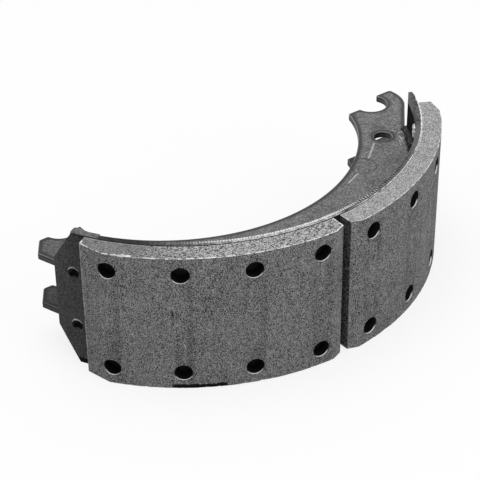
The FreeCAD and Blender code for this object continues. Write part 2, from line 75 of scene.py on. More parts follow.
def mixOf(first, second, share):
    return first * (1 - share) + second * share


# node tree helpers

number, vector = "NodeSocketFloat", "NodeSocketVector"


class Wire:      # an output of a node, for plain sums such as 1.0 - wire * 2.0
    def __init__(self, socket):
        self.socket, self.tree = socket, socket.id_data

    def __add__(self, other):
        return calc("ADD", self, other)

    def __sub__(self, other):
        return calc("SUBTRACT", self, other)

    def __rsub__(self, other):
        return calc("SUBTRACT", other, self)

    def __mul__(self, other):
        return calc("MULTIPLY", self, other)

    def __truediv__(self, other):
        return calc("DIVIDE", self, other)

    def __radd__(self, other):
        return calc("ADD", other, self)

    def __abs__(self):
        return calc("ABSOLUTE", self)


def feed(socket, source):      # source is a wire or a plain value
    if isinstance(source, Wire):
        source.tree.links.new(source.socket, socket)
    else:
        socket.default_value = source


def addNode(tree, kind, inputs={}, **settings):
    node = tree.nodes.new(kind)
    for name, setting in settings.items():
        setattr(node, name, setting)
    for label, source in inputs.items():
        feed(node.inputs[label], source)
    return node


def out(node, label=0):
    return Wire(node.outputs[label])


def outs(node):
    return {socket.name: Wire(socket) for socket in node.outputs}


def treeOf(*sources):
    return next(source.tree for source in sources if isinstance(source, Wire))


def calc(operation, *sources):
    return out(addNode(treeOf(*sources), "ShaderNodeMath", dict(enumerate(sources)), operation=operation))


def larger(first, second):
    return calc("MAXIMUM", first, second)


def smaller(first, second):
    return calc("MINIMUM", first, second)


def clamped(wire):     # keeps a sum between 0 and 1
    wire.socket.node.use_clamp = True
    return wire


def vectorCalc(operation, first, second=None):
    inputs = {0: first} if second is None else {0: first, ("Scale" if operation == "SCALE" else 1): second}
    node = addNode(first.tree, "ShaderNodeVectorMath", inputs, operation=operation)
    return out(node, "Value" if operation in ("DOT_PRODUCT", "LENGTH") else "Vector")


def parted(source):      # a vector's x, y and z
    return outs(addNode(source.tree, "ShaderNodeSeparateXYZ", {0: source})).values()


def triple(x, y, z):
    return out(addNode(treeOf(x, y, z), "ShaderNodeCombineXYZ", {0: x, 1: y, 2: z}))


def mapped(source, scale, rotation=(0, 0, 0)):
    inputs = {"Vector": source, "Rotation": rotation, "Scale": scale}
    return out(addNode(source.tree, "ShaderNodeMapping", inputs))


def span(value, low, high, toLow=0.0, toHigh=1.0):     # smooth step while value goes from low to high
    inputs = {"Value": value, "From Min": low, "From Max": high, "To Min": toLow, "To Max": toHigh}
    return out(addNode(value.tree, "ShaderNodeMapRange", inputs, interpolation_type="SMOOTHSTEP"))


def blendColor(factor, first, second):
    return out(addNode(factor.tree, "ShaderNodeMix", {0: factor, 6: first, 7: second}, data_type="RGBA"), 2)


def blendValue(factor, first, second):
    return out(addNode(factor.tree, "ShaderNodeMix", {0: factor, 2: first, 3: second}, data_type="FLOAT"))


def noiseOf(source, scale, detail=2.0, roughness=0.5, distortion=0.0):
    inputs = {"Vector": source, "Scale": scale, "Detail": detail, "Roughness": roughness,
              "Distortion": distortion}
    return out(addNode(source.tree, "ShaderNodeTexNoise", inputs), "Fac")


def cellsOf(source, scale):
    return out(addNode(source.tree, "ShaderNodeTexVoronoi", {"Vector": source, "Scale": scale}), "Distance")


def grey(level):
    return (level, level, level, 1.0)


def newGroup(name, inputs, outputs):      # inputs without a start value are vectors
    group = bpy.data.node_groups.new(name, "ShaderNodeTree")
    for label, start in inputs.items():
        kind = vector if start is None or isinstance(start, tuple) else number
        socket = group.interface.new_socket(name=label, in_out="INPUT", socket_type=kind)
        if start is not None:
            socket.default_value = start
    for label, kind in outputs.items():
        group.interface.new_socket(name=label, in_out="OUTPUT", socket_type=kind)
    return group, outs(group.nodes.new("NodeGroupInput")), group.nodes.new("NodeGroupOutput").inputs


def useGroup(tree, group, **inputs):
    return outs(addNode(tree, "ShaderNodeGroup", node_tree=group, inputs=inputs))


# shared effects

def makeShoePlace():     # radius and height in millimetres, angle in degrees, and the shoe unrolled
    group, start, end = newGroup("shoePlace", {"Vector": None, "Axis": (shoe["axisX"], shoe["axisY"], 0)},
                                 {"Radius": number, "Angle": number, "Height": number, "Polar": vector})
    x, y, z = parted(vectorCalc("SUBTRACT", start["Vector"], start["Axis"]))
    radius = calc("SQRT", x * x + y * y) * 1000.0
    turn = calc("ARCTAN2", y, x)
    height = z * 1000.0
    feed(end["Radius"], radius)
    feed(end["Angle"], calc("DEGREES", turn))
    feed(end["Height"], height)
    feed(end["Polar"], triple(turn * 200.0, height, radius))
    return group


def makeRivetRange():    # millimetres to the nearest rivet's axis, and how far above it a point is
    group, start, end = newGroup("rivetRange", {
        "Radius": 0.0, "Angle": 0.0, "Height": 0.0, "First Column": shoe["firstColumn"],
        "Pitch": shoe["columnPitch"], "Row": mm["row"]}, {"Distance": number, "Lift": number})
    fromFirst = abs(start["Angle"]) - start["First Column"]
    column = smaller(larger(calc("ROUND", fromFirst / start["Pitch"]), 0.0), shoe["columns"] - 1.0)
    along = calc("RADIANS", fromFirst - column * start["Pitch"]) * start["Radius"]
    across = abs(start["Height"]) - start["Row"]
    feed(end["Distance"], calc("SQRT", along * along + across * across))
    feed(end["Lift"], start["Height"] - calc("SIGN", start["Height"]) * start["Row"])
    return group


def makeGrit():      # salt and pepper grains around 0.5, with separate flecks and pits
    group, start, end = newGroup("grit", {"Vector": None, "Grain": 900.0, "Clumps": 260.0, "Share": 0.3},
                                 {"Value": number, "Light Flecks": number, "Dark Pits": number})
    grains = noiseOf(start["Vector"], start["Grain"], 1.0, 0.6)
    clumps = noiseOf(start["Vector"], start["Clumps"], 2.0, 0.6)
    feed(end["Value"], span(grains * 0.86 + clumps * 0.14, 0.37, 0.63))
    chance = noiseOf(vectorCalc("ADD", start["Vector"], (0.37, 0.11, 0.23)), start["Clumps"], 1.0)
    spots = span(cellsOf(start["Vector"], start["Grain"] * 0.55), 0.20, 0.36, 1.0, 0.0)
    shift = start["Share"] * 0.2
    feed(end["Light Flecks"], spots * span(chance, 0.66 - shift, 0.72 - shift))
    feed(end["Dark Pits"], spots * span(chance, 0.34 + shift, 0.28 + shift))
    return group


def makeFray():      # a worn, broken line beside an edge
    group, start, end = newGroup("fray", {
        "Distance": 0.0, "Width": 0.8, "Vector": None, "Break": 260.0, "Share": 0.6}, {"Mask": number})
    wave = noiseOf(start["Vector"], start["Break"], 3.0, 0.7)
    width = start["Width"] * span(wave, 0.3, 0.7, 0.35, 1.6)
    line = span(abs(start["Distance"]) / width, 0.6, 1.0, 1.0, 0.0)
    limit = 0.72 - start["Share"] * 0.42
    feed(end["Mask"], line * span(wave, limit, limit + 0.08))
    return group


def makeScratches():     # thin scuffs that run one way
    group, start, end = newGroup("scratches", {
        "Vector": None, "Rotation": (0, 0, 0), "Stretch": (30, 900, 30), "Share": 0.3}, {"Mask": number})
    lines = noiseOf(mapped(start["Vector"], start["Stretch"], start["Rotation"]), 1.0, 2.0, 0.55, 0.25)
    limit = 0.80 - start["Share"] * 0.28
    feed(end["Mask"], span(lines, limit, limit + 0.09))
    return group


def makeStroke():        # a soft stroke between two points of a plane
    group, start, end = newGroup("stroke", {
        "Vector": None, "From": (0, 0, 0), "To": (0, 0, 0), "Width": 0.0014, "Break": 500.0}, {"Mask": number})
    flat = vectorCalc("MULTIPLY", start["Vector"], (1, 1, 0))
    run = vectorCalc("SUBTRACT", start["To"], start["From"])
    away = vectorCalc("SUBTRACT", flat, start["From"])
    share = clamped(vectorCalc("DOT_PRODUCT", away, run) / vectorCalc("DOT_PRODUCT", run, run))
    gap = vectorCalc("LENGTH", vectorCalc("SUBTRACT", away, vectorCalc("SCALE", run, share)))
    soft = span(gap / start["Width"], 0.3, 1.0, 1.0, 0.0)
    wave = noiseOf(start["Vector"], start["Break"], 2.0, 0.6)
    feed(end["Mask"], soft * span(wave, 0.3, 0.6, 0.35, 1.0))
    return group


shoePlace, rivetRange, grit = makeShoePlace(), makeRivetRange(), makeGrit()
fray, scratches, stroke = makeFray(), makeScratches(), makeStroke()
print("shared effects ready")


def startMaterial(name):
    material = bpy.data.materials.new(name)
    material.use_nodes = True
    tree = material.node_tree
    coord = out(addNode(tree, "ShaderNodeTexCoord"), "Object")
    return material, tree, coord, useGroup(tree, shoePlace, Vector=coord)


def finishMaterial(material, color, roughness, specular=0.5, metallic=0.0, bump=None):
    tree = material.node_tree
    inputs = tree.nodes["Principled BSDF"].inputs
    feed(inputs["Base Color"], color)
    feed(inputs["Roughness"], roughness)
    feed(inputs["Specular IOR Level"], specular)
    feed(inputs["Metallic"], metallic)
    if bump:
        height, strength, distance = bump
        relief = addNode(tree, "ShaderNodeBump", {"Strength": strength, "Distance": distance, "Height": height})
        feed(inputs["Normal"], out(relief))
    return material


def upMask(tree, low, high):     # 1 on faces that look up or down
    x, y, z = parted(out(addNode(tree, "ShaderNodeNewGeometry"), "Normal"))
    return span(abs(z), low, high)


def edgeMask(tree, reach):      # 1 within reach of a sharp outer edge, 0 elsewhere
    settings = {"inside": True, "only_local": True, "samples": 12}
    shade = addNode(tree, "ShaderNodeAmbientOcclusion", {"Distance": reach}, **settings)
    return span(out(shade, "AO"), 0.97, 0.80)


# friction lining

liningLook = {
    "dark": 0.034, "light": 0.245, "fleck": 0.36, "pit": 0.012, "sideDark": 0.012,
    "sideAnchor": 0.31, "sideCam": 0.335, "spreadAnchor": 0.95, "spreadCam": 0.50, "frayed": 0.78,
    "mouthHighlight": 0.80, "shadowBlack": 0.003, "gapDirt": 0.085, "chipShade": 0.008,
    "grain": 1160.0, "clumps": 240.0, "sideGrain": 210.0,
    "smearFrom": 14.0, "smearTo": 32.0,      # angles over which the cam block's face grows more smeared
    "farSlope": 1.2, "gapSlope": 1.52, "gapBevel": 3.5,      # bevels: mm of fall per degree, start at the gap
    "stripFrom": -39.4, "stripTo": -27.9, "stripTop": -56.1,       # torn strip at the anchor block's lower edge
    "roughness": 0.88, "polish": 0.74, "bump": 0.6, "bumpDepth": 0.0004,
}
beadsPerMm, teethPerMm = 0.44, 0.35      # dashes along the plate's edge: beside the lining, beside the web
# pits and short scars on the working face: unrolled start and end in millimetres, width, shade
faceScars = [
    ((-136.4, 12.4), (-135.4, 8.4), 0.9, 0.004), ((-144.9, -21.4), (-143.9, -21.9), 0.8, 0.02),
    ((-128.5, -18.2), (-127.0, -20.6), 0.5, 0.45), ((-165.2, -9.8), (-165.6, -10.8), 0.6, 0.40),
]


def makeLiningMaterial(look, scars):
    material, tree, coord, spot = startMaterial("frictionLining")
    radius, angle, height, flat = spot.values()
    grains = useGroup(tree, grit, Vector=coord, Grain=look["grain"], Clumps=look["clumps"], Share=0.22)
    clouds = noiseOf(coord, 30.0, 3.0, 0.6)
    smear = useGroup(tree, scratches, Vector=flat, Stretch=(0.30, 0.022, 0.02), Share=0.75)
    smearSpan = (angle, look["smearFrom"], look["smearTo"])
    level = (grains["Value"] - 0.5) * span(*smearSpan, 1.05, 1.45) + (clouds - 0.5) * 0.48 + 0.5
    smeared = smear["Mask"] * span(*smearSpan, 0.10, 0.44)
    level = clamped(level + span(*smearSpan, 0.0, 0.09) - smeared)
    color = blendColor(level, grey(look["dark"]), grey(look["light"]))
    color = blendColor(grains["Light Flecks"], color, grey(look["fleck"]))
    color = blendColor(grains["Dark Pits"], color, grey(look["pit"]))
    for start, stop, width, shade in scars:
        scar = useGroup(tree, stroke, Vector=flat, From=(*start, 0), To=(*stop, 0), Width=width, Break=0.8)
        color = blendColor(scar["Mask"], color, grey(shade))

    # the ends that face each other across the gap are caked with dark dust
    turned = abs(angle)
    inGap = span(turned, shoe["blockNear"] + 0.14, shoe["blockNear"] + 0.06)
    coarse = span(noiseOf(coord, 620.0, 1.0, 0.5), 0.4, 0.62)
    dusty = blendColor(coarse, grey(look["gapDirt"] * 0.35), grey(look["gapDirt"] * 1.6))
    color = blendColor(inGap, color, dusty)

    # depth below the block's outer line, bevels included, and distance to its ends
    camSide = span(angle, -0.5, 0.5)      # 1 on the cam block
    farStart = blendValue(camSide, shoe["blockFar"] - shoe["anchorBevel"], shoe["blockFar"] - shoe["camBevel"])
    farDrop = larger(turned - farStart, 0.0) * look["farSlope"]
    gapDrop = larger(look["gapBevel"] - turned, 0.0) * look["gapSlope"]
    fromEdge = mm["face"] - farDrop - gapDrop - radius
    toGap = (turned - shoe["blockNear"]) * perDegree
    toFar = (shoe["blockFar"] - turned) * perDegree
    fromBorder = smaller(fromEdge, smaller(toGap, toFar))

    # sawn sides, paler and drawn out along the arc
    saw = useGroup(tree, scratches, Vector=flat, Stretch=(0.42, 1.0, 1.3), Share=0.95)
    patches = noiseOf(coord, look["sideGrain"], 3.0, 0.6)
    drawn = noiseOf(mapped(flat, (0.26, 1.4, 1.6)), 1.0, 1.0, 0.6)
    sideLevel = patches * 0.12 + drawn * 0.66 + grains["Value"] * 0.22
    growing = span(angle, -52.0, -34.0, look["spreadAnchor"] * 0.5, look["spreadAnchor"] * 1.1)
    spread = blendValue(camSide, growing, look["spreadCam"])
    sideLevel = span(sideLevel, 0.39, 0.61, 1.0 - spread, 1.0 + spread)
    sideShade = blendValue(camSide, look["sideAnchor"], look["sideCam"]) * sideLevel
    sideShade = sideShade * blendValue(camSide, span(angle, -50.0, -30.0, 0.57, 0.83), 0.96)
    nearerGap = span(angle, -52.0, -20.0, 0.25, 1.0)
    strokes = saw["Mask"] * (blendValue(camSide, 0.75, 0.22) * nearerGap)
    sideShade = blendValue(strokes, sideShade, look["frayed"] * 0.9)
    sideShade = larger(blendValue(grains["Dark Pits"] * 0.5, sideShade, 0.10), look["sideDark"])
    sideColor = out(addNode(tree, "ShaderNodeCombineColor", {0: sideShade, 1: sideShade, 2: sideShade}))
    onSide = span(abs(height), mm["liningHalf"] - 0.25, mm["liningHalf"] - 0.08)
    color = blendColor(onSide, color, sideColor)

    # rubbed upright edges at the blocks' far ends
    upright = useGroup(tree, fray, Distance=toFar, Width=0.9, Vector=coord, Break=180.0, Share=0.8)
    color = blendColor(upright["Mask"] * 0.5, color, grey(look["fleck"]))

    # frayed outer edges of both sides, and the beaded line beside the plate
    rougher = span(angle, -51.5, -50.0) * span(angle, -46.0, -47.5)
    edgeWidth = blendValue(camSide, 1.15, 0.55) + rougher * 1.4
    outerFray = useGroup(
        tree, fray, Distance=fromBorder, Width=edgeWidth, Vector=coord, Break=230.0, Share=0.68)
    fromBack = radius - mm["back"]
    beads = calc("SINE", calc("RADIANS", angle) * (mm["back"] * beadsPerMm * 2 * math.pi))
    beads = span(beads + patches * 1.2, 0.2, 1.0)
    innerFray = useGroup(tree, fray, Distance=fromBack, Width=1.1, Vector=coord, Break=300.0, Share=0.8)
    beaded = span(turned, 46.0, 30.0)
    plain = blendValue(camSide, 0.25, 0.85)
    innerLine = innerFray["Mask"] * blendValue(beaded, plain, beads * 0.6)
    edges = larger(outerFray["Mask"], innerLine) * onSide
    color = blendColor(edges, color, grey(look["frayed"]))

    # broken places along the edges: a painted highlight on the upper ones, painted shade on the lower ones
    low = span(fromEdge, 0.15, 0.35) * (1.0 - onSide)
    inBlock = span(turned, 3.7, 3.9) * span(turned, farStart, farStart - 0.4)
    atSide = span(abs(height), 54.5, 55.5)
    broken = low * inBlock * atSide
    chipLitAndShaded = blendColor(span(height, -1.0, 1.0), grey(look["chipShade"]), grey(look["frayed"] * 0.7))
    color = blendColor(broken, color, chipLitAndShaded)

    # torn strip along the anchor block's lower edge, painted black as its shade
    ragged = height + (patches - 0.5) * 3.0
    shifted = angle + (drawn - 0.5) * 2.0
    first, last, top = look["stripFrom"], look["stripTo"], look["stripTop"]
    inStrip = span(shifted, first - 0.3, first + 0.3) * span(shifted, last + 0.3, last - 0.3)
    inStrip = inStrip * span(ragged, top + 0.25, top - 0.25)
    color = blendColor(inStrip, color, grey(look["shadowBlack"]))
    fromTop = ragged - (top + 0.2)
    tornLip = useGroup(tree, fray, Distance=fromTop, Width=0.6, Vector=coord, Break=300.0, Share=0.45)
    beside = span(shifted, first, first + 0.6) * span(shifted, last, last - 0.6)
    color = blendColor(tornLip["Mask"] * beside * 0.8, color, grey(look["fleck"]))

    # counterbores: a painted highlight on the lip of the lower wall, where light falls, and painted shade inside
    near = useGroup(tree, rivetRange, Radius=radius, Angle=angle, Height=height)
    inWell = span(near["Distance"], mm["well"] + 0.12, mm["well"] + 0.04) * span(fromEdge, 0.01, 0.04)
    lip = span(fromEdge, 1.15, 0.75) * span(near["Lift"], -2.5, -5.5)
    wellLitAndShaded = blendColor(lip, grey(look["shadowBlack"]), grey(look["mouthHighlight"]))
    color = blendColor(inWell, color, wellLitAndShaded)

    roughness = blendValue(grains["Value"], look["roughness"], look["polish"])
    hills = grains["Value"] + grains["Light Flecks"] - grains["Dark Pits"]
    return finishMaterial(material, color, roughness, 0.10, bump=(hills, look["bump"], look["bumpDepth"]))


# painted steel

webLook = {
    "dark": 0.066, "light": 0.236, "speck": 0.45, "worn": 0.30, "rim": 0.030, "lowerWebShade": 0.58, "lug": 0.68,
    "cutDark": 0.016, "cutMid": 0.085, "bevelHighlight": 0.24, "sootAndShadow": 0.005,
    "paleMarkAndHighlight": 0.60, "hole": (0.04717, 0.29306), "holeRadius": 7.75, "rimReach": 0.0055,
    "polish": 0.47, "roughness": 0.75, "bump": 0.35, "bumpDepth": 0.00018,
}
# chalk strokes, stains, bright nicks and a painted highlight on the upper web, as row XY in metres
webMarks = {
    "chalk": [((0.0518, 0.2792), (0.0671, 0.2603), 0.0013), ((0.0803, 0.2372), (0.0865, 0.2225), 0.0012)],
    "stain": [((0.0316, 0.2982), (0.0360, 0.3022), 0.0050)],
    "bright": [((0.0500, 0.3125), (0.0512, 0.3112), 0.0014), ((0.0556, 0.3045), (0.0640, 0.3008), 0.0009),
               ((0.0313, 0.3201), (0.0315, 0.3203), 0.0011), ((0.0470, 0.3160), (0.0476, 0.3156), 0.0013),
               # painted highlight at the top of the spring hole's rim
               ((0.0394, 0.2963), (0.0411, 0.2986), 0.0010)],
}


def makeWebMaterial(look, marks):
    material, tree, coord, spot = startMaterial("webSteel")
    radius, angle, height = (spot[name] for name in ("Radius", "Angle", "Height"))
    clouds = noiseOf(coord, 60.0, 5.0, 0.62)
    fine = noiseOf(coord, 760.0, 1.5, 0.6)
    mottled = noiseOf(coord, 400.0, 2.0, 0.6)
    level = span(clouds * 0.20 + fine * 0.55 + mottled * 0.25, 0.39, 0.61)
    color = blendColor(level, grey(look["dark"]), grey(look["light"]))
    specks = useGroup(tree, grit, Vector=coord, Grain=700.0, Clumps=190.0, Share=0.3)
    color = blendColor(specks["Light Flecks"] * 0.5, color, grey(look["speck"]))
    color = blendColor(specks["Dark Pits"] * 0.5, color, grey(look["dark"] * 0.4))
    scuffs = useGroup(tree, scratches, Vector=coord, Rotation=(0, 0, 0.6), Stretch=(60, 700, 60), Share=0.25)
    color = blendColor(scuffs["Mask"] * 0.25, color, grey(look["worn"]))

    upper = span(height, 25.4, 25.7)
    for kind, strength, grain, shade in (
            ("stain", 0.85, 260.0, look["cutMid"]), ("chalk", 0.70, 500.0, look["paleMarkAndHighlight"]),
            ("bright", 0.95, 500.0, look["paleMarkAndHighlight"])):
        for start, stop, width in marks[kind]:
            ends = {"From": (*start, 0), "To": (*stop, 0)}
            mark = useGroup(tree, stroke, Vector=coord, Width=width, Break=grain, **ends)
            color = blendColor(mark["Mask"] * upper * strength, color, grey(shade))

    # bare rim of the spring hole
    x, y, z = parted(coord)
    overX, overY = (x - look["hole"][0]) * 1000.0, (y - look["hole"][1]) * 1000.0
    fromRing = calc("SQRT", overX * overX + overY * overY) - (look["holeRadius"] + 0.8)
    ring = useGroup(tree, fray, Distance=fromRing, Width=0.9, Vector=coord, Break=180.0, Share=0.7)
    color = blendColor(ring["Mask"] * 0.6, color, grey(look["speck"]))

    # painted shade along the rolled-down outline of the stamping, darker than the flat
    color = blendColor(edgeMask(tree, look["rimReach"]) * 0.9, color, grey(look["rim"]))

    # rim of the web: darker along the plate and in spots near the gap, soot round the welds
    wobble = (noiseOf(coord, 160.0, 3.0) - 0.5) * 6.0
    darkAlongPlate = span(radius + wobble, 185.5, 188.5)
    behindPlate = span(abs(angle + 1.5), 66.0, 64.5)
    spots = span(noiseOf(coord, 330.0, 2.0, 0.6), 0.46, 0.56)
    spots = spots * span(radius, 183.0, 185.5) * span(angle, 4.0, 14.0)
    darkAlongPlate = larger(darkAlongPlate, spots) * behindPlate
    welded = abs(abs(angle) - shoe["weldAngle"])
    sooty = larger(span(welded, 7.5, 5.5), span(abs(angle), 6.5, 4.0))
    scorched = span(radius + wobble * 0.7, 182.8, 184.6)
    color = blendColor(darkAlongPlate * 0.75, color, grey(look["dark"] * 0.3))
    color = blendColor(sooty * scorched, color, grey(look["sootAndShadow"]))

    # cut edges of the stamping: painted highlight on the bevel, dark sheared band, rougher torn band
    side = abs(abs(height) - mm["webMiddle"])    # 0 mid-thickness, 3 at a face
    ragged = side + (noiseOf(coord, 210.0, 3.0) - 0.5) * 1.2
    cut = clamped(1.0 - upMask(tree, 0.8, 0.92))
    torn = blendColor(fine, grey(look["cutDark"]), grey(look["cutMid"] * 1.4))
    shade = blendColor(span(ragged, 0.9, 1.3), torn, grey(look["cutDark"]))
    shade = blendColor(span(ragged, 2.1, 2.6), shade, grey(look["bevelHighlight"]))
    color = blendColor(cut, color, shade)
    # painted shade on the lower web, which lies under the upper one; the lug towards the anchor end is darker
    # too
    dimmer = span(height, 0.0, 1.0, look["lowerWebShade"], 1.0) * span(angle, -62.0, -56.0, look["lug"], 1.0)
    color = blendColor(1.0 - dimmer, color, grey(0.0))

    roughness = blendValue(clouds, look["polish"], look["roughness"])
    hills = fine * 0.5 + cut * noiseOf(coord, 900.0, 2.0)
    return finishMaterial(material, color, roughness, 0.3, bump=(hills, look["bump"], look["bumpDepth"]))


tableLook = {
    "dark": 0.018, "light": 0.064, "scuff": 0.17, "edgeDark": 0.018, "edgeLight": 0.150, "bead": 0.80,
    "dust": 0.36, "sootAndShadow": 0.004, "crater": 0.002, "innerLit": 0.15, "bump": 0.35, "bumpDepth": 0.0002,
}


def makeTableMaterial(look):
    material, tree, coord, spot = startMaterial("tableSteel")
    radius, angle, height, flat = spot.values()
    clouds = noiseOf(coord, 40.0, 4.0, 0.6)
    fine = noiseOf(coord, 760.0, 1.5, 0.6)
    level = span(clouds * 0.3 + fine * 0.7, 0.35, 0.65)
    color = blendColor(level, grey(look["dark"]), grey(look["light"]))
    specks = useGroup(tree, grit, Vector=coord, Grain=640.0, Clumps=150.0, Share=0.2)
    color = blendColor(specks["Light Flecks"] * 0.25, color, grey(look["scuff"]))
    brushed = useGroup(tree, scratches, Vector=flat, Stretch=(0.9, 0.05, 0.05), Share=0.3)
    color = blendColor(brushed["Mask"] * 0.2, color, grey(look["scuff"]))

    # dark band round the outer face's border
    outer = span(radius, mm["rim"] + 0.4, mm["rim"] + 0.8)
    border = span(abs(height), 58.6, 60.0)
    color = blendColor(border * outer * 0.8, color, grey(look["dark"] * 0.3))
    beside = span(abs(angle), 60.3, 59.2) * outer     # painted shade in the block's corner
    # painted shadow along the lower edge of the plate's outer face
    below = span(height, -56.0, -56.6) * outer
    color = blendColor(beside * 0.75, color, grey(look["dark"] * 0.3))
    color = blendColor(below, color, grey(look["sootAndShadow"]))

    # inside: patches of mill scale, painted shade low on the cam end behind the webs' ends, painted light above
    # it at the cam end's corners, and soot near the welds
    inner = span(radius, mm["rim"] + 0.3, mm["rim"] + 0.1)
    scale = span(noiseOf(coord, 34.0, 6.0, 0.66), 0.49, 0.56)
    rolled = blendColor(fine, grey(look["light"] * 1.3), grey(look["light"] * 2.6))
    color = blendColor(scale * inner * 0.65, color, rolled)
    welded = span(abs(abs(angle) - 59.0), 9.0, 5.0)
    ragged = abs(height) + clouds * 3.0
    sootAndShadow = inner * welded * span(ragged, 53.8, 52.8) * span(angle, 40.0, 45.0)
    innerLit = inner * span(angle, 55.0, 58.0) * span(ragged, 53.0, 54.2)
    fromWeb = abs(abs(height) - mm["webMiddle"]) + (clouds - 0.5) * 12.0
    fromWeld = smaller(abs(abs(angle) - shoe["weldAngle"]), abs(angle) + 1.0)
    burnt = span(fromWeb, 11.0, 5.0) * span(fromWeld, 7.0, 3.5) * inner * 0.85
    color = blendColor(larger(sootAndShadow, burnt), color, grey(look["sootAndShadow"]))
    color = blendColor(innerLit, color, grey(look["innerLit"]))

    # craters of the plug welds: painted shadow in the bowls, blackest in their lower part
    along = calc("RADIANS", angle - shoe["craterAngle"]) * mm["back"]
    across = abs(height) - mm["craterHeight"]
    away = calc("SQRT", along * along + across * across)
    bowl = span(away, 5.2, 4.6) * span(radius, 190.6, 191.2) * outer
    bowlLowerShade = span(across * calc("SIGN", height) - along, 3.4, 1.4, 0.6, 1.0)
    color = blendColor(bowl * bowlLowerShade, color, grey(look["crater"]))

    # the plate's long edges: mottled, with pale beads of dust beside the lining near the gap
    faces = upMask(tree, 0.5, 0.8)
    mottle = noiseOf(coord, 420.0, 4.0, 0.7)
    edgeColor = blendColor(span(mottle, 0.32, 0.68), grey(look["edgeDark"]), grey(look["edgeLight"]))
    nearGap = span(angle, -38.0, -20.0) * span(angle, 4.0, -2.0)
    chalky = blendColor(span(mottle, 0.36, 0.64), grey(look["dust"] * 0.45), grey(look["dust"] * 1.75))
    edgeColor = blendColor(nearGap, edgeColor, chalky)
    teeth = calc("SINE", calc("RADIANS", angle) * (mm["back"] * beadsPerMm * 2 * math.pi))
    teeth = span(teeth + mottle * 1.6, 0.2, 1.2)
    webSide = span(radius + mottle * 1.5, 192.2, 191.2)
    dashes = teeth * webSide * span(angle, 42.0, 30.0) * span(angle, -44.0, -22.0, 0.0, 0.9)
    edgeColor = blendColor(dashes * span(angle, 12.0, 6.0), edgeColor, grey(look["bead"]))
    middling = blendColor(mottle, grey(look["edgeLight"] * 0.5), grey(look["edgeLight"] * 1.1))
    smooth = span(angle, 3.0, 12.0) * span(angle, 50.0, 44.0)
    edgeColor = blendColor(smooth * (1.0 - dashes), edgeColor, middling)
    fromBack = radius - mm["back"]
    joint = useGroup(tree, fray, Distance=fromBack, Width=0.75, Vector=coord, Break=150.0, Share=0.95)
    edgeColor = blendColor(joint["Mask"] * span(angle, 2.0, 12.0), edgeColor, grey(look["bead"]))
    pitch = calc("SINE", calc("RADIANS", angle) * (mm["back"] * teethPerMm * 2 * math.pi))
    toothed = span(pitch + (mottle - 0.5) * 5.5, -0.25, 0.25)
    paler = blendColor(span(angle, 9.0, 20.0), grey(look["bead"] * 0.6), grey(look["edgeLight"]))
    toothShade = blendColor(toothed, grey(look["edgeDark"] * 0.3), paler)
    inTeeth = span(radius, 191.6, 191.0) * span(angle, 5.0, 8.0) * span(angle, 38.0, 30.0)
    edgeColor = blendColor(inTeeth, edgeColor, toothShade)
    farDark = span(angle, -40.0, -46.0) * span(angle, -57.0, -54.0)
    edgeColor = blendColor(farDark * 0.8, edgeColor, grey(look["edgeDark"] * 0.6))
    color = blendColor(faces, color, edgeColor)

    matt = larger(bowl, larger(sootAndShadow, below))
    roughness = blendValue(matt, blendValue(clouds, 0.5, 0.72), 1.0)
    hills = fine + faces * mottle
    return finishMaterial(material, color, roughness, 0.10, bump=(hills, look["bump"], look["bumpDepth"]))


# welds, spatter, burrs and rivets: each with its darkest and lightest shade

steelLook = {
    "weld": (0.003, 0.060), "weldFleck": 0.40, "spatter": (0.06, 0.85), "burr": (0.032, 0.17),
    # the plug welds' lips are a paler copy of the burr finish, a painted highlight
    "lip": (0.10, 0.52), "rivet": (0.34, 0.88), "wellRivetShade": (0.002, 0.008), "wellFrom": 192.0, "wellTo": 196.0,
}


def makeWeldMaterial(look):
    material, tree, coord, spot = startMaterial("weldSteel")
    sootAndShadow = noiseOf(coord, 420.0, 4.0, 0.7)
    specks = useGroup(tree, grit, Vector=coord, Grain=700.0, Clumps=300.0, Share=0.5)
    color = blendColor(span(sootAndShadow, 0.38, 0.68), *map(grey, look["weld"]))
    color = blendColor(specks["Light Flecks"] * 0.6, color, grey(look["weldFleck"]))
    return finishMaterial(material, color, blendValue(sootAndShadow, 0.4, 0.7), 0.3, bump=(sootAndShadow, 0.6, 0.0004))


def makeSpatterMaterial(look):
    material, tree, coord, spot = startMaterial("spatterSteel")
    tint = noiseOf(coord, 260.0, 2.0)
    color = blendColor(span(tint, 0.35, 0.65), *map(grey, look["spatter"]))
    return finishMaterial(material, color, blendValue(tint, 0.3, 0.6), metallic=0.3)


def makeBurrMaterial(name, shades):
    material, tree, coord, spot = startMaterial(name)
    tint = noiseOf(coord, 620.0, 4.0, 0.7)
    level = span(tint * 0.6 + noiseOf(coord, 200.0, 2.0) * 0.4, 0.36, 0.66)
    color = blendColor(level, *map(grey, shades))
    return finishMaterial(material, color, blendValue(tint, 0.45, 0.7), bump=(tint, 0.5, 0.0003))


def makeRivetMaterial(look):
    material, tree, coord, spot = startMaterial("rivetSteel")
    tarnish = noiseOf(coord, 420.0, 4.0, 0.65)
    bright = blendColor(span(tarnish, 0.3, 0.7), *map(grey, look["rivet"]))
    sunkShade = blendColor(tarnish, *map(grey, look["wellRivetShade"]))
    sunk = (spot["Radius"], look["wellFrom"], look["wellTo"])      # heads in the wells are painted near black as shade
    color, roughness = blendColor(span(*sunk), bright, sunkShade), blendValue(tarnish, 0.28, 0.5)
    return finishMaterial(material, color, roughness, 0.1, span(*sunk, 0.6, 0.0), bump=(tarnish, 0.3, 0.0001))


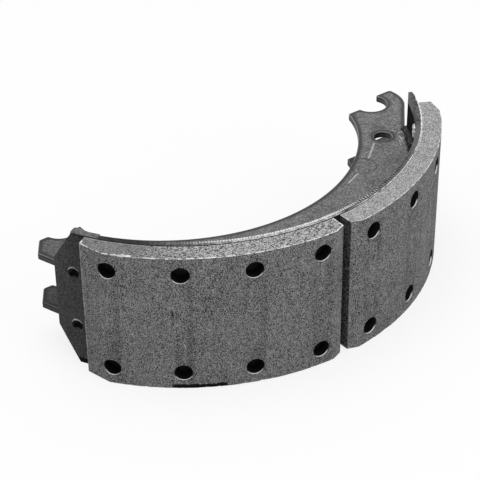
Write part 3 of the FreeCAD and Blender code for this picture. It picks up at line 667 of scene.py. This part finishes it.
materials = {
    "lining": makeLiningMaterial(liningLook, faceScars),
    "web": makeWebMaterial(webLook, webMarks),
    "table": makeTableMaterial(tableLook),
    "weld": makeWeldMaterial(steelLook),
    "spatter": makeSpatterMaterial(steelLook),
    "burr": makeBurrMaterial("cutBurr", steelLook["burr"]),
    "lip": makeBurrMaterial("weldLipHighlight", steelLook["lip"]),
    "rivet": makeRivetMaterial(steelLook),
}
print("materials ready")

for name in ("shoe_table", "upper_web", "lower_web"):
    cadNodes[name].material_slots[0].material = materials["table" if name == "shoe_table" else "web"]
print("plate and webs dressed")


# mesh helpers

def addPiece(name, mesh, material, slotName, *standsFor):
    piece = bpy.data.objects.new(name, mesh)
    bpy.context.scene.collection.objects.link(piece)
    if material:
        mesh.materials.clear()
        mesh.materials.append(material)
    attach(piece, "root")
    if standsFor:
        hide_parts(*standsFor)
    return piece


def finished(builder, name):
    bmesh.ops.recalc_face_normals(builder, faces=builder.faces)
    mesh = bpy.data.meshes.new(name)
    builder.to_mesh(mesh)
    builder.free()
    return mesh


def skin(builder, rings):      # faces between rings of corners that follow each other
    for first, second in zip(rings, rings[1:]):
        for corner in range(len(first)):
            after = (corner + 1) % len(first)
            builder.faces.new((first[corner], first[after], second[after], second[corner]))


def tube(name, points, reaches, sides=8, rough=0.25):     # closed, uneven tube along a path
    builder = bmesh.new()
    rings = []
    for index, center in enumerate(points):
        ahead = points[min(index + 1, len(points) - 1)] - points[max(index - 1, 0)]
        side = ahead.cross(Vector((0, 0, 1)))
        if side.length < 0.3 * ahead.length:
            side = ahead.cross(Vector((1, 0, 0)))
        side.normalize()
        rise = side.cross(ahead).normalized()
        ring = []
        for corner in range(sides):
            turn = 2 * math.pi * corner / sides
            way = side * math.cos(turn) + rise * math.sin(turn)
            uneven = 1 + rough * noise.noise(center * 700 + way * 3)
            ring.append(builder.verts.new(center + way * reaches[index] * uneven))
        rings.append(ring)
    skin(builder, rings)
    builder.faces.new(rings[0][::-1])
    builder.faces.new(rings[-1])
    return finished(builder, name)


def lump(name, radius, angle, height, sizes, seed):      # uneven stone: reach along, across and inward
    builder = bmesh.new()
    bmesh.ops.create_icosphere(builder, subdivisions=2, radius=1.0)
    center = place(radius, angle, height)
    turn = math.radians(angle)
    outward = Vector((math.cos(turn), math.sin(turn), 0))
    along = Vector((-outward.y, outward.x, 0))
    for vert in builder.verts:
        uneven = 1 + 0.45 * noise.noise(vert.co * 1.7 + Vector((seed, seed * 0.7, 0)))
        spot = vert.co * uneven
        vert.co = (center + along * spot.x * sizes[0] + Vector((0, 0, 1)) * spot.y * sizes[1]
                   + outward * spot.z * sizes[2])
    return finished(builder, name)


def evaluated(source, name):
    graph = bpy.context.evaluated_depsgraph_get()
    mesh = bpy.data.meshes.new_from_object(source.evaluated_get(graph), depsgraph=graph)
    mesh.name = name
    return mesh


def cleaned(mesh):     # triangles only, without the back-to-back slivers that a cut can leave
    builder = bmesh.new()
    builder.from_mesh(mesh)
    bmesh.ops.remove_doubles(builder, verts=builder.verts, dist=3e-6)
    bmesh.ops.dissolve_degenerate(builder, edges=builder.edges, dist=1e-6)
    bmesh.ops.triangulate(builder, faces=builder.faces)
    pairs = {}
    for face in builder.faces:
        pairs.setdefault(frozenset(face.verts), []).append(face)
    doubled = [face for group in pairs.values() if len(group) == 2 for face in group]
    bmesh.ops.delete(builder, geom=doubled, context="FACES")
    return finished(builder, mesh.name)


def carve(name, node, cutterMeshes):     # copy of a CAD node with the cutters taken out of it
    builder = bmesh.new()
    builder.from_mesh(cadNodes[node].data)
    bmesh.ops.remove_doubles(builder, verts=builder.verts, dist=1e-6)
    mesh = bpy.data.meshes.new(name)
    builder.to_mesh(mesh)
    builder.free()
    target = bpy.data.objects.new(name + "Source", mesh)
    bpy.context.scene.collection.objects.link(target)
    tools = bpy.data.collections.new(name + "Tools")
    bpy.context.scene.collection.children.link(tools)
    for cutter in cutterMeshes:
        tools.objects.link(bpy.data.objects.new(cutter.name, cutter))
    cut = target.modifiers.new("carve", "BOOLEAN")
    cut.operation, cut.operand_type, cut.solver = "DIFFERENCE", "COLLECTION", "EXACT"
    cut.collection = tools
    result = evaluated(target, name)
    for helper in list(tools.objects):
        bpy.data.objects.remove(helper, do_unlink=True)
    bpy.data.collections.remove(tools)
    bpy.data.objects.remove(target, do_unlink=True)
    return cleaned(result)


# friction blocks with worn and chipped edges

blockWear = {
    "step": 0.0011, "endEdge": 0.00018, "endHalf": 0.0625, "gapDepth": 0.0038, "gapArc": 2.5,
    "upper": (0.00015, 0.00026), "lower": (0.00024, 0.00050),      # wear of the edges: least, and how uneven
    "anchor": {"side": -1, "bevelDepth": 0.0072, "bevelArc": shoe["anchorBevel"]},
    "cam": {"side": 1, "bevelDepth": 0.0050, "bevelArc": shoe["camBevel"]},
    "strip": {"from": -39.2, "to": -28.8, "height": -0.0588, "reach": 0.0011},     # groove of the torn strip
    # single chips: block, angle, height, then reach along, across and into the block
    "chips": [
        ("anchor", -49.2, 0.0604, 0.0034, 0.0013, 0.0022), ("anchor", -47.0, 0.0606, 0.0015, 0.0010, 0.0012),
        ("anchor", -55.6, 0.0604, 0.0012, 0.0008, 0.0010), ("anchor", -38.6, 0.0607, 0.0026, 0.0010, 0.0010),
        ("anchor", -29.5, 0.0608, 0.0030, 0.0011, 0.0012), ("anchor", -12.0, 0.0607, 0.0022, 0.0010, 0.0011),
        ("anchor", -56.9, -0.0598, 0.0020, 0.0016, 0.0014), ("anchor", -45.0, -0.0604, 0.0016, 0.0010, 0.0010),
        ("anchor", -20.5, -0.0603, 0.0024, 0.0012, 0.0012), ("anchor", -9.0, -0.0604, 0.0018, 0.0010, 0.0012),
        ("cam", 21.0, -0.0600, 0.0040, 0.0032, 0.0016), ("cam", 24.6, -0.0602, 0.0030, 0.0024, 0.0014),
        ("cam", 12.0, -0.0604, 0.0020, 0.0012, 0.0012), ("cam", 38.0, -0.0603, 0.0022, 0.0014, 0.0014),
        ("cam", 30.5, 0.0608, 0.0018, 0.0010, 0.0010), ("cam", 9.5, 0.0608, 0.0016, 0.0009, 0.0010),
    ],
    # pits in the working face: block, angle, height, reach, depth
    "pits": [
        ("anchor", -38.95, 0.0112, 0.0009, 0.0013), ("anchor", -38.70, 0.0087, 0.0007, 0.0011),
        ("anchor", -41.40, -0.0215, 0.0006, 0.0008), ("anchor", -36.60, -0.0190, 0.0006, 0.0008),
        ("cam", 16.3, 0.0246, 0.0006, 0.0008), ("cam", 19.1, 0.0312, 0.0005, 0.0007),
    ],
}


def blockPath(wear, end):     # outer edge of a block's side, from its far end to the gap: (radius, angle)
    side, depth, arc = (wear[end][name] for name in ("side", "bevelDepth", "bevelArc"))
    face, far, near = shoe["face"], shoe["blockFar"], shoe["blockNear"]
    corners = [(face - depth - 0.0016, side * (far + 0.45)), (face - depth, side * far)]
    corners.append((face, side * (far - arc)))
    count = int(math.radians(far - arc - near - wear["gapArc"]) * face / wear["step"])
    for index in range(1, count + 1):
        corners.append((face, side * mixOf(far - arc, near + wear["gapArc"], index / count)))
    corners.append((face - wear["gapDepth"], side * near))
    corners.append((face - wear["gapDepth"] - 0.0006, side * (near - 0.4)))
    return corners


def makeChippedBlock(wear, end):
    cutters = []
    for edge, level in (("upper", 1), ("lower", -1)):
        points = [place(radius, angle, level * shoe["liningHalf"]) for radius, angle in blockPath(wear, end)]
        smallest, extra = wear[edge]
        reaches = []
        for point in points:
            wave = noise.noise(point * 240 + Vector((0, 0, level))) + 0.5 * noise.noise(point * 760)
            reaches.append(smallest + extra * max(wave, -0.3))
        cutters.append(tube(f"edge{end}{level}", points, reaches))
    bevelled = shoe["face"] - wear[end]["bevelDepth"]
    upright = [place(bevelled, wear[end]["side"] * shoe["blockFar"], (-1 + step / 30) * wear["endHalf"])
               for step in range(61)]
    reaches = [wear["endEdge"] * (1 + 0.8 * noise.noise(point * 300)) for point in upright]
    cutters.insert(1, tube(f"end{end}", upright, reaches))
    if end == "anchor":
        strip = wear["strip"]
        line = [place(shoe["face"] + 0.0002, mixOf(strip["from"], strip["to"], step / 40), strip["height"])
                for step in range(41)]
        reaches = [strip["reach"] * (0.8 + 0.5 * noise.noise(point * 400)) for point in line]
        cutters.append(tube("tornStrip", line, reaches))
    for index, (block, angle, height, *sizes) in enumerate(wear["chips"]):
        if block == end:
            cutters.append(lump(f"chip{index}", shoe["face"], angle, height, sizes, index * 1.3))
    for index, (block, angle, height, reach, depth) in enumerate(wear["pits"]):
        if block == end:
            cutters.append(lump(f"pit{index}", shoe["face"], angle, height, (reach, reach, depth), index * 2.1))
    mesh = carve(end + "Block", end + "_lining", cutters)
    addPiece(end + "Block", mesh, materials["lining"], "friction_lining", end + "_lining")
    return len(mesh.polygons)


for end in ("anchor", "cam"):
    print(end, "block carved,", makeChippedBlock(blockWear, end), "faces")


# geometry node helpers

def newGeometryTree(name, inputs):
    kinds = {int: "NodeSocketInt", float: number, tuple: vector, type(None): "NodeSocketMaterial"}
    tree = bpy.data.node_groups.new(name, "GeometryNodeTree")
    tree.is_modifier = True
    tree.interface.new_socket(name="Geometry", in_out="INPUT", socket_type="NodeSocketGeometry")
    for label, start in inputs.items():
        socket = tree.interface.new_socket(name=label, in_out="INPUT", socket_type=kinds[type(start)])
        if start is not None:
            socket.default_value = start
    tree.interface.new_socket(name="Geometry", in_out="OUTPUT", socket_type="NodeSocketGeometry")
    return tree, outs(tree.nodes.new("NodeGroupInput")), tree.nodes.new("NodeGroupOutput").inputs


def finishTree(end, geometry, material):
    painted = addNode(geometry.tree, "GeometryNodeSetMaterial", {"Geometry": geometry, "Material": material})
    feed(end["Geometry"], out(painted))
    return geometry.tree


def realized(copies):
    return out(addNode(copies.tree, "GeometryNodeRealizeInstances", {0: copies}))


def pathPoints(tree, value):      # points at an even pitch along the path that the tree is run over
    curve = out(addNode(tree, "GeometryNodeMeshToCurve", {0: value["Geometry"]}))
    inputs = {"Curve": curve, "Length": value["Pitch"]}
    return outs(addNode(tree, "GeometryNodeCurveToPoints", inputs, mode="LENGTH"))


def randomOf(low, high, seed, index):
    inputs = {"ID": index, "Seed": seed, 2: low, 3: high}
    return out(addNode(index.tree, "FunctionNodeRandomValue", inputs, data_type="FLOAT"), 1)


def grow(name, mesh, tree, values):      # run a tree over a mesh and give back the plain result
    host = bpy.data.objects.new(name + "Host", mesh)
    bpy.context.scene.collection.objects.link(host)
    modifier = host.modifiers.new(name, "NODES")
    modifier.node_group = tree
    for item in tree.interface.items_tree:
        if item.in_out == "INPUT" and item.name in values:
            modifier[item.identifier] = values[item.name]
    result = evaluated(host, name)
    host.modifiers.clear()
    bpy.data.objects.remove(host, do_unlink=True)
    return result


drumAxis = (shoe["axisX"], shoe["axisY"], 0.0)

# rivets: flat head, shank and an end rolled over inside the plate

rivetSizes = {
    "head": 0.0065, "headThick": 0.0024, "headEdge": 0.0006, "dimple": 0.0024, "dimpleDepth": 0.0003,
    "shank": 0.0040, "roll": 0.0062, "bore": 0.0027, "boreDepth": 0.0070, "segments": 40,
    "splits": 7, "splitDepth": 0.0009, "seed": 4,
}


def rivetMesh(sizes):     # lies along X, measured from the drum's axis
    head, edge, shank, roll, bore = (sizes[name] for name in ("head", "headEdge", "shank", "roll", "bore"))
    rollSeat = math.sqrt(shoe["rim"] ** 2 - roll ** 2)
    seat = shoe["headSeat"]
    top = seat + sizes["headThick"]
    half, middle = (roll - bore) / 2, (roll + bore) / 2
    dimple, dip = sizes["dimple"], sizes["dimpleDepth"]
    profile = [(top - dip, dimple - dip), (top - dip, dimple), (top, dimple + dip), (top, head - edge),
               (top - edge * 0.35, head - edge * 0.25), (top - edge, head), (seat, head),
               (seat, shank), (rollSeat, shank), (rollSeat, roll)]
    for step in range(1, 10):
        turn = math.pi * step / 10
        profile.append((rollSeat - half * math.sin(turn), middle + half * math.cos(turn)))
    profile += [(rollSeat, bore), (rollSeat + sizes["boreDepth"], bore)]
    builder = bmesh.new()
    rings = []
    for x, away in profile:
        ring = []
        for corner in range(sizes["segments"]):
            turn = 2 * math.pi * corner / sizes["segments"]
            reach, depth = away, x
            if x < rollSeat - 1e-6:      # the rolled end splits a little as it spreads
                split = max(0.0, math.cos(turn * sizes["splits"] + 0.6 * math.sin(turn * 2)) - 0.72) / 0.28
                depth = x + (rollSeat - x) * 0.75 * split
                reach = away - sizes["splitDepth"] * split * (away > middle)
            ring.append(builder.verts.new((depth, reach * math.cos(turn), reach * math.sin(turn))))
        rings.append(ring)
    skin(builder, rings)
    for ring, x in ((rings[0], profile[0][0]), (rings[-1], profile[-1][0])):
        center = builder.verts.new((x, 0, 0))
        for corner in range(sizes["segments"]):
            builder.faces.new((ring[corner], ring[(corner + 1) % sizes["segments"]], center))
    return finished(builder, "rivetShape")


def makeRivetTree():
    tree, value, end = newGeometryTree("rivetRows", {
        "Columns": 4, "First Column": 6.8, "Pitch": 15.133, "Row": 0.045, "Axis": (0, 0, 0), "Seed": 1,
        "Material": None})
    index = out(addNode(tree, "GeometryNodeInputIndex"))
    column = calc("MODULO", index, value["Columns"])
    line = calc("FLOOR", index / value["Columns"])
    row = calc("MODULO", line, 2.0) * 2.0 - 1.0
    block = calc("FLOOR", line / 2.0) * 2.0 - 1.0
    turn = calc("RADIANS", (value["First Column"] + column * value["Pitch"]) * block)
    position = vectorCalc("ADD", value["Axis"], triple(0.0, 0.0, row * value["Row"]))
    points = addNode(tree, "GeometryNodePoints", {"Count": value["Columns"] * 4.0, "Position": position})
    spin = randomOf(0.0, 2 * math.pi, value["Seed"], index)
    copies = addNode(tree, "GeometryNodeInstanceOnPoints", {
        "Points": out(points), "Instance": value["Geometry"], "Rotation": triple(spin, 0.0, turn)})
    return finishTree(end, realized(out(copies)), value["Material"])


def makeRivets(sizes):
    mesh = grow("rivets", rivetMesh(sizes), makeRivetTree(), {
        "Columns": shoe["columns"], "First Column": shoe["firstColumn"], "Pitch": shoe["columnPitch"],
        "Row": shoe["row"], "Axis": drumAxis, "Seed": sizes["seed"], "Material": materials["rivet"]})
    replaced = [name for name in cadNodes if "_rivet_" in name]
    addPiece("rivets", mesh, None, "rivet_steel", *replaced)
    return len(mesh.polygons)


print("rivets set,", makeRivets(rivetSizes), "faces")


# welds: overlapping ripples along each joint, with spatter round them

weldSizes = {
    "arc": 8.6, "centers": (58.7, 0.0, -57.7), "steps": 24, "inset": 0.0011, "reach": 0.0030,
    "pitch": 0.0010, "thick": 0.50, "spread": 0.13, "rough": 0.0009, "seed": 11,
    "spatterPitch": 0.0007, "spatterSmall": 0.00016, "spatterLarge": 0.00060, "spatterReach": 0.013,
}


def weldPaths(sizes):
    builder = bmesh.new()
    for side in (1, -1):
        for center in sizes["centers"]:
            previous = None
            for step in range(sizes["steps"] + 1):
                angle = center + sizes["arc"] * (step / sizes["steps"] - 0.5)
                height = side * (shoe["webFace"] + sizes["inset"])
                vert = builder.verts.new(place(shoe["rim"] - sizes["inset"], angle, height))
                if previous:
                    builder.edges.new((previous, vert))
                previous = vert
    mesh = bpy.data.meshes.new("weldPaths")
    builder.to_mesh(mesh)
    builder.free()
    return mesh


def makeWeldTree():
    tree, value, end = newGeometryTree("weldRipples", {
        "Pitch": 0.0011, "Reach": 0.003, "Thickness": 0.4, "Spread": 0.15, "Roughness": 0.0003, "Seed": 1,
        "Material": None})
    points = pathPoints(tree, value)
    index = out(addNode(tree, "GeometryNodeInputIndex"))
    ripple = addNode(tree, "GeometryNodeMeshUVSphere", {"Segments": 14, "Rings": 8, "Radius": 1.0})
    size = value["Reach"] * (1.0 + randomOf(-1.0, 1.0, value["Seed"], index) * value["Spread"])
    copies = addNode(tree, "GeometryNodeInstanceOnPoints", {
        "Points": points["Points"], "Instance": out(ripple), "Rotation": points["Rotation"],
        "Scale": triple(size, size, size * value["Thickness"])})
    wave = noiseOf(out(addNode(tree, "GeometryNodeInputPosition")), 650.0, 2.0)
    normal = out(addNode(tree, "GeometryNodeInputNormal"))
    push = vectorCalc("SCALE", normal, (wave - 0.5) * (value["Roughness"] * 2.0))
    moved = addNode(tree, "GeometryNodeSetPosition", {"Geometry": realized(out(copies)), "Offset": push})
    return finishTree(end, out(moved), value["Material"])


def makeSpatterTree():
    tree, value, end = newGeometryTree("weldSpatter", {
        "Pitch": 0.0008, "Smallest": 0.0002, "Largest": 0.0005, "Reach": 0.012, "Web Face": 0.026,
        "Axis": (0, 0, 0), "Seed": 1, "Material": None})
    points = pathPoints(tree, value)
    index = out(addNode(tree, "GeometryNodeInputIndex"))
    here = out(addNode(tree, "GeometryNodeInputPosition"))
    toAxis = vectorCalc("MULTIPLY", vectorCalc("SUBTRACT", value["Axis"], here), (1, 1, 0))
    inward = vectorCalc("NORMALIZE", toAxis)
    throw = calc("POWER", randomOf(0.0, 1.0, value["Seed"], index), 1.6) * value["Reach"]
    x, y, z = parted(here)
    drop = calc("SIGN", z) * value["Web Face"] - z      # down to the web's face
    offset = vectorCalc("ADD", vectorCalc("SCALE", inward, throw), triple(0.0, 0.0, drop))
    spread = addNode(tree, "GeometryNodeSetPosition", {"Geometry": points["Points"], "Offset": offset})
    bead = addNode(tree, "GeometryNodeMeshIcoSphere", {"Radius": 1.0, "Subdivisions": 2})
    size = randomOf(value["Smallest"], value["Largest"], value["Seed"] + 5.0, index)
    copies = addNode(tree, "GeometryNodeInstanceOnPoints", {
        "Points": out(spread), "Instance": out(bead), "Scale": triple(size, size, size * 0.8)})
    return finishTree(end, realized(out(copies)), value["Material"])


def makeWelds(sizes):
    beads = grow("weldBeads", weldPaths(sizes), makeWeldTree(), {
        "Pitch": sizes["pitch"], "Reach": sizes["reach"], "Thickness": sizes["thick"], "Spread": sizes["spread"],
        "Roughness": sizes["rough"], "Seed": sizes["seed"], "Material": materials["weld"]})
    replaced = [name for name in cadNodes if "_weld_" in name]
    addPiece("weldBeads", beads, None, "weld_steel", *replaced)
    spatter = grow("weldSpatter", weldPaths(sizes), makeSpatterTree(), {
        "Pitch": sizes["spatterPitch"], "Smallest": sizes["spatterSmall"], "Largest": sizes["spatterLarge"],
        "Reach": sizes["spatterReach"], "Web Face": shoe["webFace"], "Axis": drumAxis, "Seed": sizes["seed"],
        "Material": materials["spatter"]})
    addPiece("weldSpatter", spatter, None, "weld_steel")
    return len(beads.polygons) + len(spatter.polygons)


print("welds laid,", makeWelds(weldSizes), "faces")


# burr left by the cutter on the plate's upper edge at the anchor shoulder, and raised lips of the plug welds,
# pale as a painted highlight

burrSizes = {
    # angle, height above the plate's edge
    "ridge": [(-62.35, 0.0010), (-62.05, 0.0020), (-61.6, 0.0027), (-61.0, 0.0029), (-60.4, 0.0024),
              (-59.6, 0.0016), (-58.8, 0.0010), (-57.9, 0.0007), (-56.8, 0.0004), (-55.4, 0.0001)],
    # radius and share of the height, or None for the foot, which is sunk into the plate
    "section": [(0.1934, None), (0.1934, 0.55), (0.1926, 0.85), (0.1910, 0.95), (0.1893, 1.0), (0.1880, 0.75),
                (0.1874, 0.1), (0.1892, None)],
    "sunk": 0.0006, "steps": 5, "rough": 0.00014,
    "lip": 0.0007, "lipFrom": 165.0, "lipTo": 25.0, "lipSteps": 24,
}


def makeBurr(sizes):
    builder = bmesh.new()
    rings = []
    for (firstAngle, firstHeight), (lastAngle, lastHeight) in zip(sizes["ridge"], sizes["ridge"][1:]):
        for step in range(sizes["steps"]):
            share = step / sizes["steps"]
            angle, rise = mixOf(firstAngle, lastAngle, share), mixOf(firstHeight, lastHeight, share)
            ring = []
            for radius, part in sizes["section"]:
                spot = place(radius, angle, shoe["plateHalf"] + (part * rise if part else -sizes["sunk"]))
                if part:
                    spot = spot + noise.noise_vector(spot * 420) * sizes["rough"]
                ring.append(builder.verts.new(spot))
            rings.append(ring)
    skin(builder, rings)
    builder.faces.new(rings[0][::-1])
    builder.faces.new(rings[-1])
    addPiece("edgeBurr", finished(builder, "edgeBurr"), materials["burr"], "table_steel")


def makeLips(sizes):
    for name, side in (("upper", 1), ("lower", -1)):
        points, reaches = [], []
        for step in range(sizes["lipSteps"] + 1):
            share = step / sizes["lipSteps"]
            turn = math.radians(mixOf(sizes["lipFrom"], sizes["lipTo"], share))
            along = math.degrees(math.cos(turn) * shoe["craterRadius"] / shoe["back"])
            height = side * shoe["craterHeight"] + math.sin(turn) * shoe["craterRadius"]
            points.append(place(shoe["back"] - 0.0001, shoe["craterAngle"] + along, height))
            reaches.append(sizes["lip"] * (0.35 + 0.65 * math.sin(math.pi * share)))
        lip = tube(name + "PlugLip", points, reaches, 10, 0.4)
        addPiece(lip.name, lip, materials["lip"], "table_steel")


makeBurr(burrSizes)
makeLips(burrSizes)
print("burr and plug weld lips made")


# stage, light and camera

stageLook = {
    "floor": 0.92, "floorGlow": 0.80, "floorHalf": 6.0, "worldLight": 0.68,
    "keyPlace": (-0.1, -0.1, 2.3), "keySize": 1.6, "keyPower": 20.0,
    "fillPlace": (2.0, 0.5, 0.7), "fillSize": 1.4, "fillPower": 11.0,
    "middle": (0.08, 0.15, 0.0),      # where the lamps point
}
# the camera's place and the directions of its picture, fitted to the object's outline
cameraFit = {
    "place": (0.966942, -0.541014, 0.752339), "sensor": 36.0, "lens": 125.93, "clipStart": 0.05,
    "right": (0.600870, 0.799278, -0.010590), "down": (0.440844, -0.342405, -0.829709),
    "ahead": (-0.666794, 0.493878, -0.558096),
}


def seenDirectly(tree):      # 1 where the camera, a mirror or a shiny face sees the stage
    rays = outs(addNode(tree, "ShaderNodeLightPath"))
    return larger(rays["Is Camera Ray"], rays["Is Glossy Ray"])


def makeFloor(look):
    mesh = bpy.data.meshes.new("floor")
    size, z = look["floorHalf"], -shoe["plateHalf"]
    corners = [(-size, -size, z), (size, -size, z), (size, size, z), (-size, size, z)]
    mesh.from_pydata(corners, [], [(0, 1, 2, 3)])
    floor = bpy.data.objects.new("floor", mesh)
    bpy.context.scene.collection.objects.link(floor)
    material = bpy.data.materials.new("floorPale")
    material.use_nodes = True
    tree = material.node_tree
    finishMaterial(material, grey(look["floor"]), 0.9, 0.1)
    mixed = addNode(tree, "ShaderNodeMixShader", {
        0: seenDirectly(tree) * look["floorGlow"], 1: out(tree.nodes["Principled BSDF"]),
        2: out(addNode(tree, "ShaderNodeEmission"))})
    feed(tree.nodes["Material Output"].inputs["Surface"], out(mixed))
    mesh.materials.append(material)


def makeWorld(look):
    world = bpy.data.worlds.new("studio")
    world.use_nodes = True
    back = world.node_tree.nodes["Background"]
    back.inputs["Color"].default_value = (1, 1, 1, 1)
    feed(back.inputs["Strength"], blendValue(seenDirectly(world.node_tree), look["worldLight"], 1.0))
    bpy.context.scene.world = world


def addLamp(name, position, target, size, power):
    lamp = bpy.data.lights.new(name, "AREA")
    lamp.shape = "DISK"
    lamp.size = size
    lamp.energy = power
    holder = bpy.data.objects.new(name, lamp)
    bpy.context.scene.collection.objects.link(holder)
    holder.location = position
    holder.rotation_mode = "QUATERNION"
    holder.rotation_quaternion = (Vector(target) - Vector(position)).to_track_quat("-Z", "Y")


def makeCamera(fit):
    camera = bpy.data.objects.new("camera", bpy.data.cameras.new("camera"))
    bpy.context.scene.collection.objects.link(camera)
    turn = Matrix((Vector(fit["right"]), -Vector(fit["down"]), -Vector(fit["ahead"]))).transposed()
    camera.rotation_mode = "QUATERNION"
    camera.rotation_quaternion = turn.to_quaternion()
    camera.location = fit["place"]
    camera.data.sensor_width = fit["sensor"]
    camera.data.lens = fit["lens"]
    camera.data.clip_start = fit["clipStart"]
    bpy.context.scene.camera = camera


makeFloor(stageLook)
makeWorld(stageLook)
for lamp in ("key", "fill"):
    position, size, power = (stageLook[lamp + part] for part in ("Place", "Size", "Power"))
    addLamp(lamp + "Lamp", position, stageLook["middle"], size, power)
makeCamera(cameraFit)
bpy.context.scene.view_settings.view_transform = "Standard"
print("stage ready")
